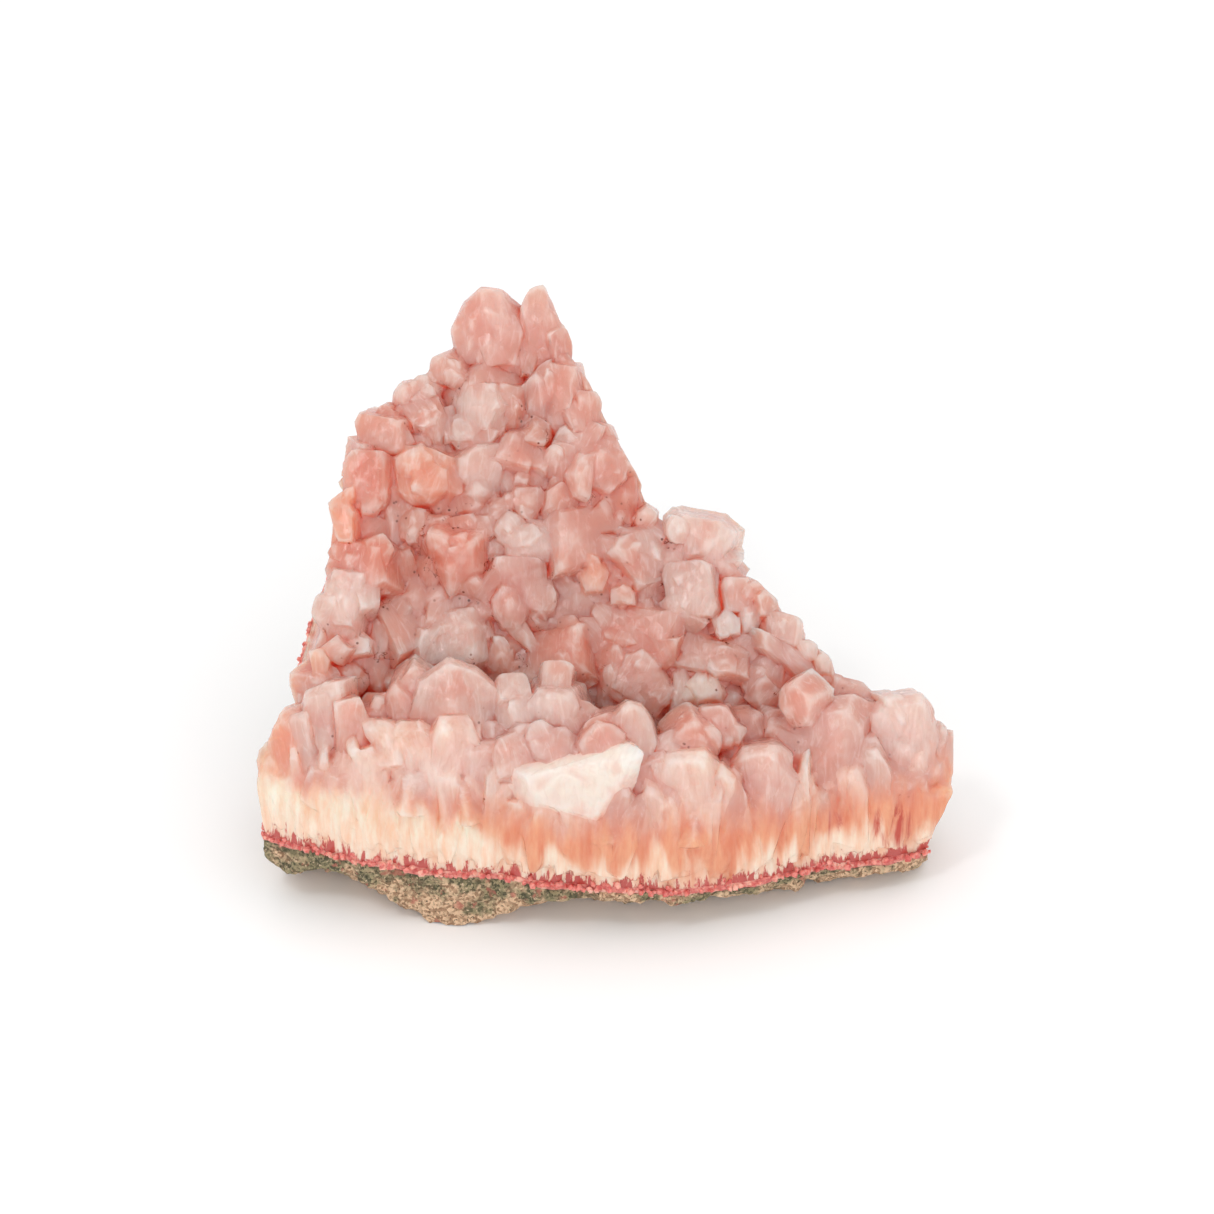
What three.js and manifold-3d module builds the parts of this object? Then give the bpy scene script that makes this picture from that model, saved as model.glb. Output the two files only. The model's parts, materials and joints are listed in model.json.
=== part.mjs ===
// Heulandite cluster, a palm-sized mineral specimen lying on its rock.
// Millimetres, +Z up, +Y to the back. The flat patches under the rock lie on z = 0.
//
// Three parts, from the rock outwards:
//   matrix            weathered green basalt
//   red_seam          the thin dark red crust that grew on the rock first
//   heulandite_crust  the fibrous band and every crystal standing on it, grown together
//
// The shape is laid out on the slope the crystals face, which leans back by LEAN from
// upright: u runs to the right, v up the slope and w out of it.
import * as THREE from 'three';
import Module from 'manifold-3d';

const wasm = await Module();
wasm.setup();

// ---- Driving dimensions ----
const LEAN = THREE.MathUtils.degToRad(35);
const MIDDLE_BACK = 30; // from the front edge to the frame's origin
const FLOOR_HEIGHT = 8.1; // the crust's underside over the resting plane, at the middle
const FLOOR_FALL = 0.055; // fall of that underside to the right, per mm
const WALL_OUT = -14; // w of the rear wall's underside, at v = 40
const WALL_FALL = 0.087; // how the wall leans further back, per mm of v
const ARM_CURL = 7; // how far the left arm curls forwards
const BEND = 4; // size of the bend between floor and wall
const GAP = 0.3; // parting between rock, seam and crust
const SEAM = 0.9; // mean thickness of the red seam
const LEAST_ROCK = 0.8; // thinnest rock, along the front
const COLUMNS = 20; // cells across the sheets
const REACH = 0.4; // edges shorter than this are drawn together
const PLAIN = 4.6; // crystals narrower than this have no bevel
const SPREAD = 1.08; // how far the crystals of the wall and lip crowd each other

// Front edge in plan: x, then y from the frontmost point.
const FRONT_EDGE = [
  [-48, 8], [-43, 5.8], [-35, 3.2], [-28, 2], [-23, 1], [-15, 1.1], [-10, -0.3], [0, -1],
  [10, -0.8], [20, 1.7], [30, 6.4], [36, 7.5], [40, 8.9], [46, 11.5],
];

// Lower outline of the front: u, v.
const LOWER_EDGE = [
  [-48, 10.5], [-46, 8.3], [-44, 7.5], [-42, 8.5], [-40, 8.9], [-35, 7.3], [-30, 5],
  [-27, 3], [-24.5, 0.6], [-22.5, 0], [-18, 0.9], [-14, 2.5], [-10, 3.6], [-6.5, 4.4],
  [-2.5, 4.8], [4.5, 4.2], [12, 4.1], [15.5, 4.9], [20.5, 5.2], [26.5, 5.8], [28, 6.9],
  [36, 7.5], [40, 8], [43, 8.4], [45, 9.5], [46, 10.8],
];

// Rows of the sheets up the slope, and their left and right ends: v, u.
const ROWS = [7.5, 11, 14.5, 18.5, 23.5, 30, 37, 45, 53, 61, 70, 79];
const LEFT_END = [
  [8, -47.8], [12.5, -48.2], [20, -46.6], [25, -45.2], [30, -43.6], [37.5, -43.2], [43.5, -41.5],
  [47.5, -39.9], [53, -38.2], [60, -35.9], [65, -35.2], [68, -32.8], [74, -24.6], [80, -19.8],
];
const RIGHT_END = [
  [8, 44.8], [22, 45.2], [26, 39.6], [31, 33], [36, 28], [41, 23.5], [48, 17.5], [52, 10], [58, 3.5],
  [65, -0.5], [73, -4.5], [80, -9],
];

// Thickness of the fibrous crust and the way it grows (degrees from w towards v), by v.
const CRUST_DEPTH = [
  [7, 11.5], [11, 13], [15, 10.5], [19, 9], [24, 9], [30, 10.5], [45, 11], [60, 10], [80, 8],
];
const GROWTH = [[7, 68], [11, 60], [16, 55], [25, 35], [35, 8], [60, 8], [80, 45]];
// How far the crystals' ground stands out of the wall's underside, by v.
const GROUND = [
  [24, 6], [29.4, 7.7], [34, 10], [38.5, 11], [61, 10.1], [74, 8.4], [86, 6.2], [92, 4.5],
];
// Thickness of the rock behind the wall, by v, and how much it narrows at its ends per mm.
const ROCK_DEPTH = [[17, 12], [24, 19], [30, 16], [37, 12], [45, 9.5], [61, 6], [80, 4]];
const ROCK_TAPER = 0.3;

// Crystal faces, as outlines in a square from -1 to 1.
const OUTLINES = {
  coffin: [[-0.55, -1], [0.5, -1], [1, 0.15], [0.6, 1], [-0.65, 1], [-1, 0.05]],
  block: [[-0.9, -1], [0.8, -0.95], [1, -0.7], [0.95, 0.8], [0.6, 1], [-0.85, 0.95], [-1, 0.6]],
  arch: [[-0.9, -1], [0.9, -1], [1, 0.25], [0.6, 0.85], [-0.05, 1], [-0.65, 0.8], [-1, 0.2]],
  egg: [[-0.45, -0.95], [0.5, -1], [1, -0.35], [0.9, 0.5], [0.3, 1], [-0.45, 0.95], [-1, 0.3], [-0.9, -0.5]],
  wedge: [[-0.9, -0.9], [0.9, -1], [1, 0.3], [-0.1, 1], [-1, 0.45]],
  spear: [[-0.15, -1], [0.85, -0.2], [0.7, 1], [-0.7, 0.95], [-0.95, 0]],
  blade: [[-0.6, -1], [0.7, -0.9], [1, 0.2], [0.3, 1], [-1, 0.7]],
  fan: [[-0.55, -1], [0.55, -1], [0.9, 0.1], [1, 0.72], [0.55, 1], [-0.6, 0.97], [-1, 0.68]],
  dome: [[-0.8, -1], [0.8, -1], [1, -0.2], [0.85, 0.45], [0.35, 0.93], [-0.2, 1], [-0.75, 0.6], [-1, -0.1]],
  spire: [[-0.9, -1], [1, -1], [0.95, -0.3], [0.4, 0.7], [0.05, 1], [-0.55, 0.95], [-0.85, 0.5]],
  shaft: [[-0.65, -1], [0.6, -1], [1, 0.55], [0.45, 1], [-0.75, 0.93]],
  slab: [[-1, 0.5], [-0.98, -0.36], [-0.62, -0.95], [-0.29, -1], [0.55, 0.1], [1, 0.95], [0.5, 1]],
};

// Crystals standing in the broken front, from the seam to their tips: u, v of the tip,
// width, step back of the tip, yaw, roll (degrees), outline, length.
const FRONT = [
  [-45.6, 21.0, 3.6, 1.8, -30, 3, 'shaft', 6],
  [-43.2, 31.0, 5.6, 4.2, -16, 2, 'fan', 8],
  [-39.3, 34.2, 6.6, 6.8, -8, 2, 'fan', 9],
  [-35.2, 33.0, 5.2, 6.6, 12, 5, 'shaft', 8],
  [-33.3, 26.4, 4.2, 2.6, -4, 0, 'shaft', 7],
  [-29.6, 22.6, 5.2, 2.0, -14, 0, 'fan', 7],
  [-26.5, 29.6, 6.2, 4.4, -10, 4, 'fan', 8],
  [-21.7, 29.8, 6.2, 4.6, 12, -3, 'fan', 8],
  [-17.0, 27.2, 7.0, 3.6, 4, 0, 'fan', 8],
  [-12.8, 17.5, 4.6, 0.6, -10, 0, 'shaft', 6],
  [-8.6, 16.0, 5.0, 0.4, 8, 0, 'shaft', 6],
  [-3.8, 17.0, 5.6, 0.4, -6, 0, 'shaft', 6],
  [1.2, 19.5, 5.2, 1.0, 8, 0, 'shaft', 6],
  [5.8, 25.0, 5.8, 4.4, 8, 0, 'fan', 8],
  [11.6, 24.6, 8.0, 2.6, -5, 2, 'fan', 8],
  [16.6, 22.0, 5.0, 2.2, 12, 0, 'shaft', 7],
  [20.8, 25.6, 8.0, 3.6, -6, -3, 'fan', 8],
  [25.0, 21.6, 5.2, 2.0, 12, 4, 'shaft', 7],
  [30.6, 32.2, 12.2, 6.0, -10, -2, 'fan', 10],
  [36.8, 26.0, 5.4, 3.0, -10, 0, 'shaft', 7],
  [40.8, 32.8, 9.4, 6.0, 6, -2, 'fan', 10],
  [45.3, 28.8, 5.4, 4.8, 24, -1, 'fan', 8],
];

// Crystals on the front lip: u, v, width, height, step back from the front edge,
// yaw, pitch, roll, outline, length.
const LIP = [
  [-31.0, 29.6, 4.8, 5.4, 8.0, 6, 0, -10, 'wedge', 7],
  [-28.8, 28.4, 7.0, 14.0, 8.2, -12, -6, 3, 'arch', 9],
  [-20.6, 29.8, 12.0, 14.2, 8.8, 6, -8, -2, 'arch', 9],
  [-10.2, 30.6, 10.2, 9.4, 9.5, -6, -2, 3, 'block', 9],
  [-2.8, 29.8, 5.8, 6.4, 10.2, 10, 2, -4, 'wedge', 7],
  [-4.4, 19.0, 18.2, 11.0, 0.4, -3, -24, 0, 'slab', 6.5],
  [2.4, 27.4, 9.2, 9.6, 6.6, 4, -8, -3, 'coffin', 8],
  [12.2, 25.8, 7.0, 6.4, 6.2, 6, -4, -4, 'coffin', 7],
  [17.8, 24.4, 5.4, 6.0, 8.0, -6, 0, 0, 'wedge', 7],
  [36.0, 29.0, 6.0, 7.0, 8.0, 4, -4, 0, 'coffin', 8],
  [-15.2, 27.0, 5.0, 6.0, 6.5, 6, -4, 0, 'wedge', 7],
];

// Crystals of the wall, the valley and the peak: u, v, width, height, how far the face
// stands out of the ground, yaw, pitch, roll, outline, length.
const WALL = [
  [-37.0, 35.8, 6.2, 4.6, 1.2, -12, 14, 0, 'coffin', 7],
  [-35.2, 39.8, 3.6, 3.0, 2.0, 8, 6, 12, 'wedge', 6],
  [-40.2, 37.4, 2.8, 4.0, 1.6, -20, 4, 0, 'blade', 6],
  [-36.3, 45.5, 6.6, 9.0, 3.0, -10, 12, 3, 'coffin', 9],
  [-31.0, 41.0, 4.8, 5.8, 1.8, 14, 8, -6, 'coffin', 7],
  [-22.5, 41.0, 10.0, 7.2, 2.6, -6, 14, 2, 'block', 9],
  [-28.0, 37.5, 4.2, 4.2, 1.6, -10, 18, 0, 'wedge', 6],
  [-14.8, 38.0, 4.6, 4.6, 2.2, 12, 10, 0, 'egg', 6],
  [-8.0, 39.3, 8.2, 8.2, 2.2, -10, 10, 5, 'block', 8],
  [4.0, 41.8, 15.0, 8.2, 1.8, 3, 16, -2, 'block', 8],
  [15.0, 39.5, 11.0, 6.4, 1.8, 10, 12, -4, 'arch', 8],
  [5.5, 35.0, 8.2, 8.2, 3.2, 8, 12, -22, 'wedge', 9],
  [0.3, 35.5, 4.8, 6.2, 2.8, -14, 8, 0, 'coffin', 8],
  [13.7, 34.5, 4.2, 4.2, 3.0, 0, 22, 10, 'block', 7],
  [10.4, 34.0, 2.8, 6.2, 2.6, 10, 6, -4, 'blade', 7],
  [21.5, 35.5, 6.4, 6.4, 2.6, 8, 14, 0, 'egg', 8],
  [24.8, 38.4, 2.8, 8.4, 2.2, 16, 10, 46, 'blade', 7],
  [27.6, 36.6, 3.0, 9.2, 2.6, 18, 8, 44, 'blade', 7],
  [30.4, 34.2, 2.8, 8.4, 2.4, 22, 6, 42, 'blade', 7],
  [26.0, 31.8, 6.4, 5.2, 2.0, 6, 12, 20, 'wedge', 7],
  [19.0, 28.4, 9.6, 6.0, 1.2, 4, 20, 0, 'coffin', 7],
  [11.0, 29.4, 6.0, 4.8, 0.6, 0, 18, 0, 'wedge', 6],
  [11.4, 47.6, 6.6, 8.2, 2.8, -8, 6, 2, 'block', 8],
  [34.6, 33.4, 7.4, 3.4, 3.4, 24, 8, -28, 'blade', 7],
  [30.8, 37.2, 2.4, 3.0, 2.4, 16, 4, 0, 'wedge', 5],
  [28.3, 39.5, 3.0, 3.2, 2.2, 20, 8, 10, 'blade', 5],
  [25.0, 42.0, 5.0, 4.4, 2.2, 14, 10, -8, 'block', 7],
  [23.0, 45.8, 3.4, 4.0, 1.8, 26, 6, 6, 'wedge', 6],
  [21.4, 47.4, 2.4, 2.8, 1.4, 20, 4, 0, 'blade', 5],
  [18.5, 46.8, 4.4, 4.8, 2.0, 10, 6, -8, 'block', 7],
  [17.0, 43.2, 3.5, 3.4, 2.6, -4, 14, 14, 'wedge', 6],
  [20.4, 43.6, 3.6, 3.8, 2.2, 14, 10, 0, 'coffin', 6],
  [13.9, 54.2, 9.9, 8.2, 2.2, 12, 8, -6, 'block', 8],
  [5.6, 53.4, 8.6, 9.4, 1.6, 6, 10, 4, 'coffin', 8],
  [2.2, 47.0, 3.4, 3.0, 2.6, -12, 6, 0, 'wedge', 6],
  [2.2, 60.4, 6.2, 8.0, -0.4, 24, 4, 0, 'coffin', 6],
  [-0.6, 65.8, 7.6, 8.2, 2.4, 12, 10, -6, 'egg', 8],
  [-6.3, 64.8, 5.4, 7.6, 2.0, -8, 6, 2, 'coffin', 8],
  [-2.4, 72.6, 4.4, 6.2, 1.2, 22, 6, -6, 'block', 7],
  [-6.4, 75.2, 6.6, 9.2, 1.8, 10, 4, -4, 'coffin', 8],
  [-6.4, 81.2, 4.4, 8.0, 0.4, 26, 4, 6, 'blade', 7],
  [-9.2, 85.2, 7.2, 11.4, 1.4, 6, 6, 0, 'spire', 9],
  [-17.5, 85.3, 9.4, 11.2, 2.4, -8, 4, 0, 'dome', 10],
  [-16.0, 78.2, 6.6, 4.2, 1.0, 4, 20, 0, 'wedge', 6],
  [-23.7, 77.5, 4.8, 4.0, 1.2, -14, 10, 8, 'egg', 6],
  [-27.9, 75.1, 3.8, 4.0, 1.2, -18, 10, 0, 'egg', 6],
  [-18.8, 73.5, 7.2, 6.8, 3.0, -10, 8, 0, 'block', 8],
  [-13.6, 73.0, 5.0, 6.4, 1.2, 30, 0, 0, 'coffin', 7],
  [-25.4, 71.4, 7.2, 6.8, 2.0, -6, 10, 4, 'coffin', 8],
  [-32.4, 69.4, 7.0, 5.2, 1.8, -16, 8, 2, 'block', 7],
  [-33.9, 63.3, 6.4, 7.6, 2.0, -14, 6, 0, 'block', 8],
  [-25.7, 63.7, 9.6, 8.8, 3.0, -5, 8, 0, 'egg', 9],
  [-30.2, 66.5, 4.2, 4.2, 0.8, 6, 14, 0, 'wedge', 6],
  [-16.7, 64.5, 8.2, 6.8, 2.2, 4, 8, 0, 'egg', 8],
  [-19.0, 69.2, 7.4, 2.8, 1.6, -4, 12, 4, 'blade', 6],
  [-10.6, 74.0, 5.0, 8.0, 0.8, -8, 4, 0, 'arch', 7],
  [-27.8, 57.3, 5.2, 4.8, 1.8, -8, 8, 0, 'coffin', 7],
  [-33.0, 56.2, 5.0, 4.4, 1.0, 4, 10, 0, 'wedge', 6],
  [-35.4, 51.8, 7.8, 6.2, 2.6, -12, 8, 4, 'block', 8],
  [-37.4, 57.6, 3.4, 7.0, 1.2, -24, 0, 6, 'blade', 6],
  [-21.4, 51.0, 9.2, 8.8, 3.6, -8, 2, 0, 'spear', 9],
  [-10.4, 55.0, 8.8, 7.2, 2.8, 5, 8, 0, 'arch', 9],
  [-11.8, 48.0, 7.8, 8.2, 3.4, -6, 6, 0, 'block', 9],
  [-17.8, 56.2, 4.2, 4.2, 1.8, -8, 10, 0, 'egg', 6],
  [-15.4, 58.8, 4.2, 4.0, 1.6, 0, 14, 0, 'egg', 6],
  [-10.8, 60.0, 5.2, 4.2, 1.8, 8, 12, 0, 'coffin', 6],
  [-4.0, 55.3, 7.2, 8.8, 2.6, 10, 8, 4, 'block', 8],
  [-1.8, 49.6, 5.2, 4.8, 1.4, 4, 4, 0, 'coffin', 7],
  [-0.6, 57.8, 3.2, 4.2, 1.4, 14, 6, 0, 'wedge', 6],
  [-14.6, 43.4, 2.6, 6.0, 2.2, -10, 6, 40, 'blade', 6],
  [-12.2, 42.0, 2.6, 6.0, 2.0, -6, 8, 42, 'blade', 6],
  [-17.4, 41.6, 3.6, 5.2, 1.8, 8, 8, 0, 'coffin', 6],
  [-6.2, 60.6, 5.0, 4.0, 1.2, -4, 10, 0, 'wedge', 6],
  [-28.6, 50.2, 4.6, 5.4, 0.6, 16, 6, 0, 'coffin', 6],
];

// Small crystals that fill the ground between the large ones.
const FILL = { tries: 420, seed: 20417, small: 4.4, large: 6.8, apart: 5.2, depth: 6 };
// Columns of the fibrous band along the broken front: spacing, width, height.
const BAND = { step: 4.6, width: 4.2, height: 6.5 };

// ---- Helpers ----
const SIN = Math.sin(LEAN);
const COS = Math.cos(LEAN);
const rad = THREE.MathUtils.degToRad;
const blend = THREE.MathUtils.smoothstep;

// Slope coordinates to the part's frame.
function toFrame(p) {
  return new THREE.Vector3(
    p.x,
    p.y * SIN - p.z * COS - MIDDLE_BACK,
    p.y * COS + p.z * SIN,
  );
}

// Value of a table of pairs at x, straight between its entries.
function along(table, x) {
  if (x <= table[0][0]) return table[0][1];
  for (let k = 1; k < table.length; k += 1) {
    const [x0, y0] = table[k - 1];
    const [x1, y1] = table[k];
    if (x <= x1) return y0 + ((y1 - y0) * (x - x0)) / (x1 - x0);
  }
  return table[table.length - 1][1];
}

// A smooth, repeatable unevenness between -1 and 1.
function ripple(a, b) {
  const one = Math.sin(0.83 * a + 0.41 * b);
  const two = Math.sin(0.37 * a - 0.79 * b + 1.7);
  const three = Math.sin(1.31 * a + 1.07 * b + 4.1);
  return (one + two + three) / 3;
}

// A repeatable stream of numbers from 0 to 1.
function stream(seed) {
  let state = seed;
  return () => {
    state = (state * 1664525 + 1013904223) % 4294967296;
    return state / 4294967296;
  };
}

const lift = (u) => FLOOR_HEIGHT - FLOOR_FALL * u;
const frontV = (u) => along(FRONT_EDGE, u) * SIN + lift(u) * COS;

// The wall's underside.
function wallW(u, v) {
  return WALL_OUT - WALL_FALL * (v - 40) + ARM_CURL * blend(-30 - u, 0, 16);
}

// The crust's underside: the floor, and the wall behind it, with a soft bend between.
function undersideW(u, v) {
  const floor = (lift(u) - v * COS) / SIN;
  const wall = wallW(u, v);
  const near = Math.max(BEND - Math.abs(floor - wall), 0) / BEND;
  return Math.max(floor, wall) + (near * near * BEND) / 4 + 0.4 * ripple(u / 2.2, v / 2.2);
}

// The direction out of the underside, on its upper side.
function outward(u, v) {
  const du = undersideW(u + 0.5, v) - undersideW(u - 0.5, v);
  const dv = undersideW(u, v + 0.5) - undersideW(u, v - 0.5);
  return new THREE.Vector3(-du, -dv, 1).normalize();
}

// The direction the crust grows in.
function growth(u, v) {
  const angle = rad(along(GROWTH, v));
  const arm = 0.35 * blend(-34 - u, 0, 8) * blend(v, 18, 28) * (1 - blend(v, 62, 72));
  const right = 0.3 * blend(u - along(RIGHT_END, v), -10, 0);
  const fan = (0.1 * u) / 48;
  return new THREE.Vector3(arm + right + fan, Math.sin(angle), Math.cos(angle)).normalize();
}

// The grid of the underside: every sheet shares it.
function undersideGrid() {
  const grid = [];
  const mean = ROWS[0];
  for (let j = 0; j < ROWS.length; j += 1) {
    const t = (ROWS[j] - mean) / (ROWS[ROWS.length - 1] - mean);
    const follow = (1 - t) ** 3;
    const left = along(LEFT_END, ROWS[j] + (frontV(-47.3) - mean) * follow);
    const right = along(RIGHT_END, ROWS[j] + (frontV(45.3) - mean) * follow);
    const row = [];
    for (let i = 0; i <= COLUMNS; i += 1) {
      const inner = j > 0 && i > 0 && i < COLUMNS && j < ROWS.length - 1;
      const shift = inner ? 0.22 * ripple(i * 2.3, j * 3.1) : 0;
      const u = left + ((right - left) * (i + shift)) / COLUMNS;
      const v = ROWS[j] + (frontV(u) - mean) * follow;
      row.push(new THREE.Vector3(u, v, undersideW(u, v)));
    }
    grid.push(row);
  }
  return grid;
}

// A sheet moved from the grid by a rule: point, row and column in, point out.
function moved(grid, rule) {
  return grid.map((row, j) => row.map((p, i) => rule(p, j, i)));
}

// A manifold from corners and triangles.
function solid(points, faces) {
  const mesh = new wasm.Mesh({
    numProp: 3,
    vertProperties: new Float32Array(points.flatMap((p) => [p.x, p.y, p.z])),
    triVerts: new Uint32Array(faces.flat()),
  });
  return new wasm.Manifold(mesh);
}

// The closed body between a lower and an upper sheet, its broken side made uneven.
function slabBetween(lower, upper, rough) {
  const rows = lower.length;
  const cols = lower[0].length;
  const points = [];
  const faces = [];
  const place = (p) => points.push(toFrame(p)) - 1;
  const low = lower.map((row) => row.map(place));
  const high = upper.map((row) => row.map(place));
  for (let j = 0; j + 1 < rows; j += 1) {
    for (let i = 0; i + 1 < cols; i += 1) {
      const h = [high[j][i], high[j][i + 1], high[j + 1][i + 1], high[j + 1][i]];
      const l = [low[j][i], low[j][i + 1], low[j + 1][i + 1], low[j + 1][i]];
      if ((i + j) % 2) {
        faces.push([h[0], h[1], h[2]], [h[0], h[2], h[3]]);
        faces.push([l[0], l[2], l[1]], [l[0], l[3], l[2]]);
      } else {
        faces.push([h[0], h[1], h[3]], [h[1], h[2], h[3]]);
        faces.push([l[0], l[3], l[1]], [l[1], l[3], l[2]]);
      }
    }
  }
  const rim = [];
  for (let i = 0; i < cols; i += 1) rim.push([0, i]);
  for (let j = 1; j < rows; j += 1) rim.push([j, cols - 1]);
  for (let i = cols - 2; i >= 0; i -= 1) rim.push([rows - 1, i]);
  for (let j = rows - 2; j > 0; j -= 1) rim.push([j, 0]);
  const ring = rim.map(([j, i], k) => {
    if (!rough) return null;
    const middle = lower[j][i].clone().lerp(upper[j][i], 0.5 + 0.16 * ripple(k * 2.1, 1));
    const before = rim[(k + rim.length - 1) % rim.length];
    const after = rim[(k + 1) % rim.length];
    const run = upper[after[0]][after[1]].clone().sub(upper[before[0]][before[1]]);
    const rise = upper[j][i].clone().sub(lower[j][i]);
    const out = run.cross(rise).normalize();
    return place(middle.addScaledVector(out, rough * (0.3 + ripple(k * 1.9, 5))));
  });
  rim.forEach(([j, i], k) => {
    const m = (k + 1) % rim.length;
    const [jn, inx] = rim[m];
    const quads = rough
      ? [[low[j][i], low[jn][inx], ring[m], ring[k]], [ring[k], ring[m], high[jn][inx], high[j][i]]]
      : [[low[j][i], low[jn][inx], high[jn][inx], high[j][i]]];
    quads.forEach(([a, b, c, d]) => faces.push([a, b, c], [a, c, d]));
  });
  return solid(points, faces);
}

// The grid with one more cell on every side, to trim what hangs over the edges.
function widened(grid, by) {
  const beyond = (a, b) => a.clone().addScaledVector(a.clone().sub(b).normalize(), by);
  const rows = grid.map((row) => [
    beyond(row[0], row[1]),
    ...row,
    beyond(row[row.length - 1], row[row.length - 2]),
  ]);
  const last = rows.length - 1;
  const below = rows[0].map((p, i) => beyond(p, rows[1][i]));
  const above = rows[last].map((p, i) => beyond(p, rows[last - 1][i]));
  return [below, ...rows, above];
}

// One crystal: a bevelled face with the given outline, tapering away behind it.
function crystal(centre, width, height, yaw, pitch, roll, outline, length) {
  const n = new THREE.Vector3(
    Math.sin(rad(yaw)) * Math.cos(rad(pitch)),
    Math.sin(rad(pitch)),
    Math.cos(rad(yaw)) * Math.cos(rad(pitch)),
  );
  const across = new THREE.Vector3(0, 1, 0).cross(n).normalize();
  const up = n.clone().cross(across).applyAxisAngle(n, rad(roll));
  across.applyAxisAngle(n, rad(roll));
  const shape = OUTLINES[outline];
  const bevel = Math.min(width, height) * 0.11;
  const back = [0.8, 0.8, -length];
  const bevelled = [[1 - (2 * bevel) / width, 1 - (2 * bevel) / height, 0], [1, 1, -bevel * 1.2], back];
  const steps = Math.min(width, height) > PLAIN ? bevelled : [[1, 1, 0], back];
  const last = steps.length - 1;
  const points = [];
  steps.forEach(([sx, sy, depth]) => {
    shape.forEach(([x, y]) => {
      const p = centre.clone();
      p.addScaledVector(across, (x * sx * width) / 2);
      p.addScaledVector(up, (y * sy * height) / 2);
      p.addScaledVector(n, depth);
      points.push(toFrame(p));
    });
  });
  const count = shape.length;
  const faces = [];
  for (let k = 1; k + 1 < count; k += 1) {
    faces.push([0, k, k + 1]);
    faces.push([last * count, last * count + k + 1, last * count + k]);
  }
  for (let ring = 0; ring < last; ring += 1) {
    for (let k = 0; k < count; k += 1) {
      const a = ring * count + k;
      const b = ring * count + ((k + 1) % count);
      faces.push([a, a + count, b], [b, a + count, b + count]);
    }
  }
  return solid(points, faces);
}

// Where a lip crystal's face stands, and where a wall crystal's does.
function lipPoint([u, v, , , step]) {
  return new THREE.Vector3(u, v, (v * SIN - along(FRONT_EDGE, u) - step) / COS);
}
function wallPoint([u, v, , , out]) {
  return new THREE.Vector3(u, v, wallW(u, v) + along(GROUND, v) + out);
}

function grown(entry, point) {
  const [, , width, height, , yaw, pitch, roll, outline, length] = entry;
  const tall = (SPREAD * height) / Math.cos(rad(pitch));
  return crystal(point, SPREAD * width, tall, yaw, pitch, roll, outline, length);
}

// A crystal from the foot of the front to its tip.
function standing([u, tip, width, step, yaw, roll, outline, length]) {
  const foot = frontV(u) + 1.2;
  const top = lipPoint([u, tip, 0, 0, step]);
  const low = lipPoint([u, foot, 0, 0, -0.7]);
  const pitch = THREE.MathUtils.radToDeg(Math.atan2(low.z - top.z, tip - foot));
  const middle = top.clone().lerp(low, 0.5);
  return crystal(middle, width, top.distanceTo(low), yaw, pitch, roll, outline, length);
}

// ---- The sheets ----
const grid = undersideGrid();
const normals = grid.map((row) => row.map((p) => outward(p.x, p.y)));
const seamDepth = (i, j) => SEAM * (1 + 0.5 * ripple(i * 3.7, j * 2.9));

function crustTop(p, j, i) {
  const edge = Math.min(i, COLUMNS - i, (ROWS.length - 1 - j) * 1.5) / 3;
  const depth = along(CRUST_DEPTH, p.y) * (0.78 + 0.22 * Math.min(edge, 1));
  return p.clone().addScaledVector(growth(p.x, p.y), depth + 0.7 * ripple(i * 2.7, j * 3.3));
}

function seamTop(p, j, i) {
  return p.clone().addScaledVector(normals[j][i], -GAP);
}

function seamBottom(p, j, i) {
  return p.clone().addScaledVector(normals[j][i], -GAP - seamDepth(i, j));
}

function rockTop(p, j, i) {
  return p.clone().addScaledVector(normals[j][i], -2 * GAP - seamDepth(i, j));
}

// Under the floor the rock goes down to the resting plane, but is undercut along the front.
// Behind the wall it thins upwards.
function rockBottom(p, j, i) {
  const place = toFrame(p);
  const back = place.y + MIDDLE_BACK;
  const undercut = (along(LOWER_EDGE, p.x) - back * SIN) / COS;
  const uneven = 0.5 + 1.7 * ripple(i * 1.7, j * 2.2 + 2);
  const floor = place.z - Math.max(undercut, Math.min(uneven, 2) - 0.4);
  const wall = along(ROCK_DEPTH, p.y) * (1 + 0.13 * ripple(i * 2.9, j * 3.6));
  const wanted = THREE.MathUtils.lerp(floor, wall, blend(p.y, 13.5, 19));
  const depth = Math.max(wanted, LEAST_ROCK + 2 * GAP + seamDepth(i, j));
  const low = p.clone().addScaledVector(normals[j][i], -depth);
  low.x -= ((ROCK_TAPER * depth * p.x) / 48) * blend(p.y, 12, 17);
  return low;
}

const matrixSheet = slabBetween(moved(grid, rockBottom), moved(grid, rockTop), 0.8);

// A three.js box as a manifold, its corners merged.
function boxSolid(size, centre) {
  const points = [];
  [-1, 1].forEach((z) => {
    [[-1, -1], [1, -1], [1, 1], [-1, 1]].forEach(([x, y]) => {
      points.push(new THREE.Vector3(x, y, z).multiply(size).multiplyScalar(0.5).add(centre));
    });
  });
  const faces = [
    [0, 2, 1], [0, 3, 2], [4, 5, 6], [4, 6, 7],
    [0, 1, 5], [0, 5, 4], [1, 2, 6], [1, 6, 5],
    [2, 3, 7], [2, 7, 6], [3, 0, 4], [3, 4, 7],
  ];
  return solid(points, faces);
}

const ground = boxSolid(new THREE.Vector3(300, 300, 60), new THREE.Vector3(0, 0, -30));
const matrix = matrixSheet.subtract(ground);
const seam = slabBetween(moved(grid, seamBottom), moved(grid, seamTop), 0);
let crust = slabBetween(grid, moved(grid, crustTop), 0.9);

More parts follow.
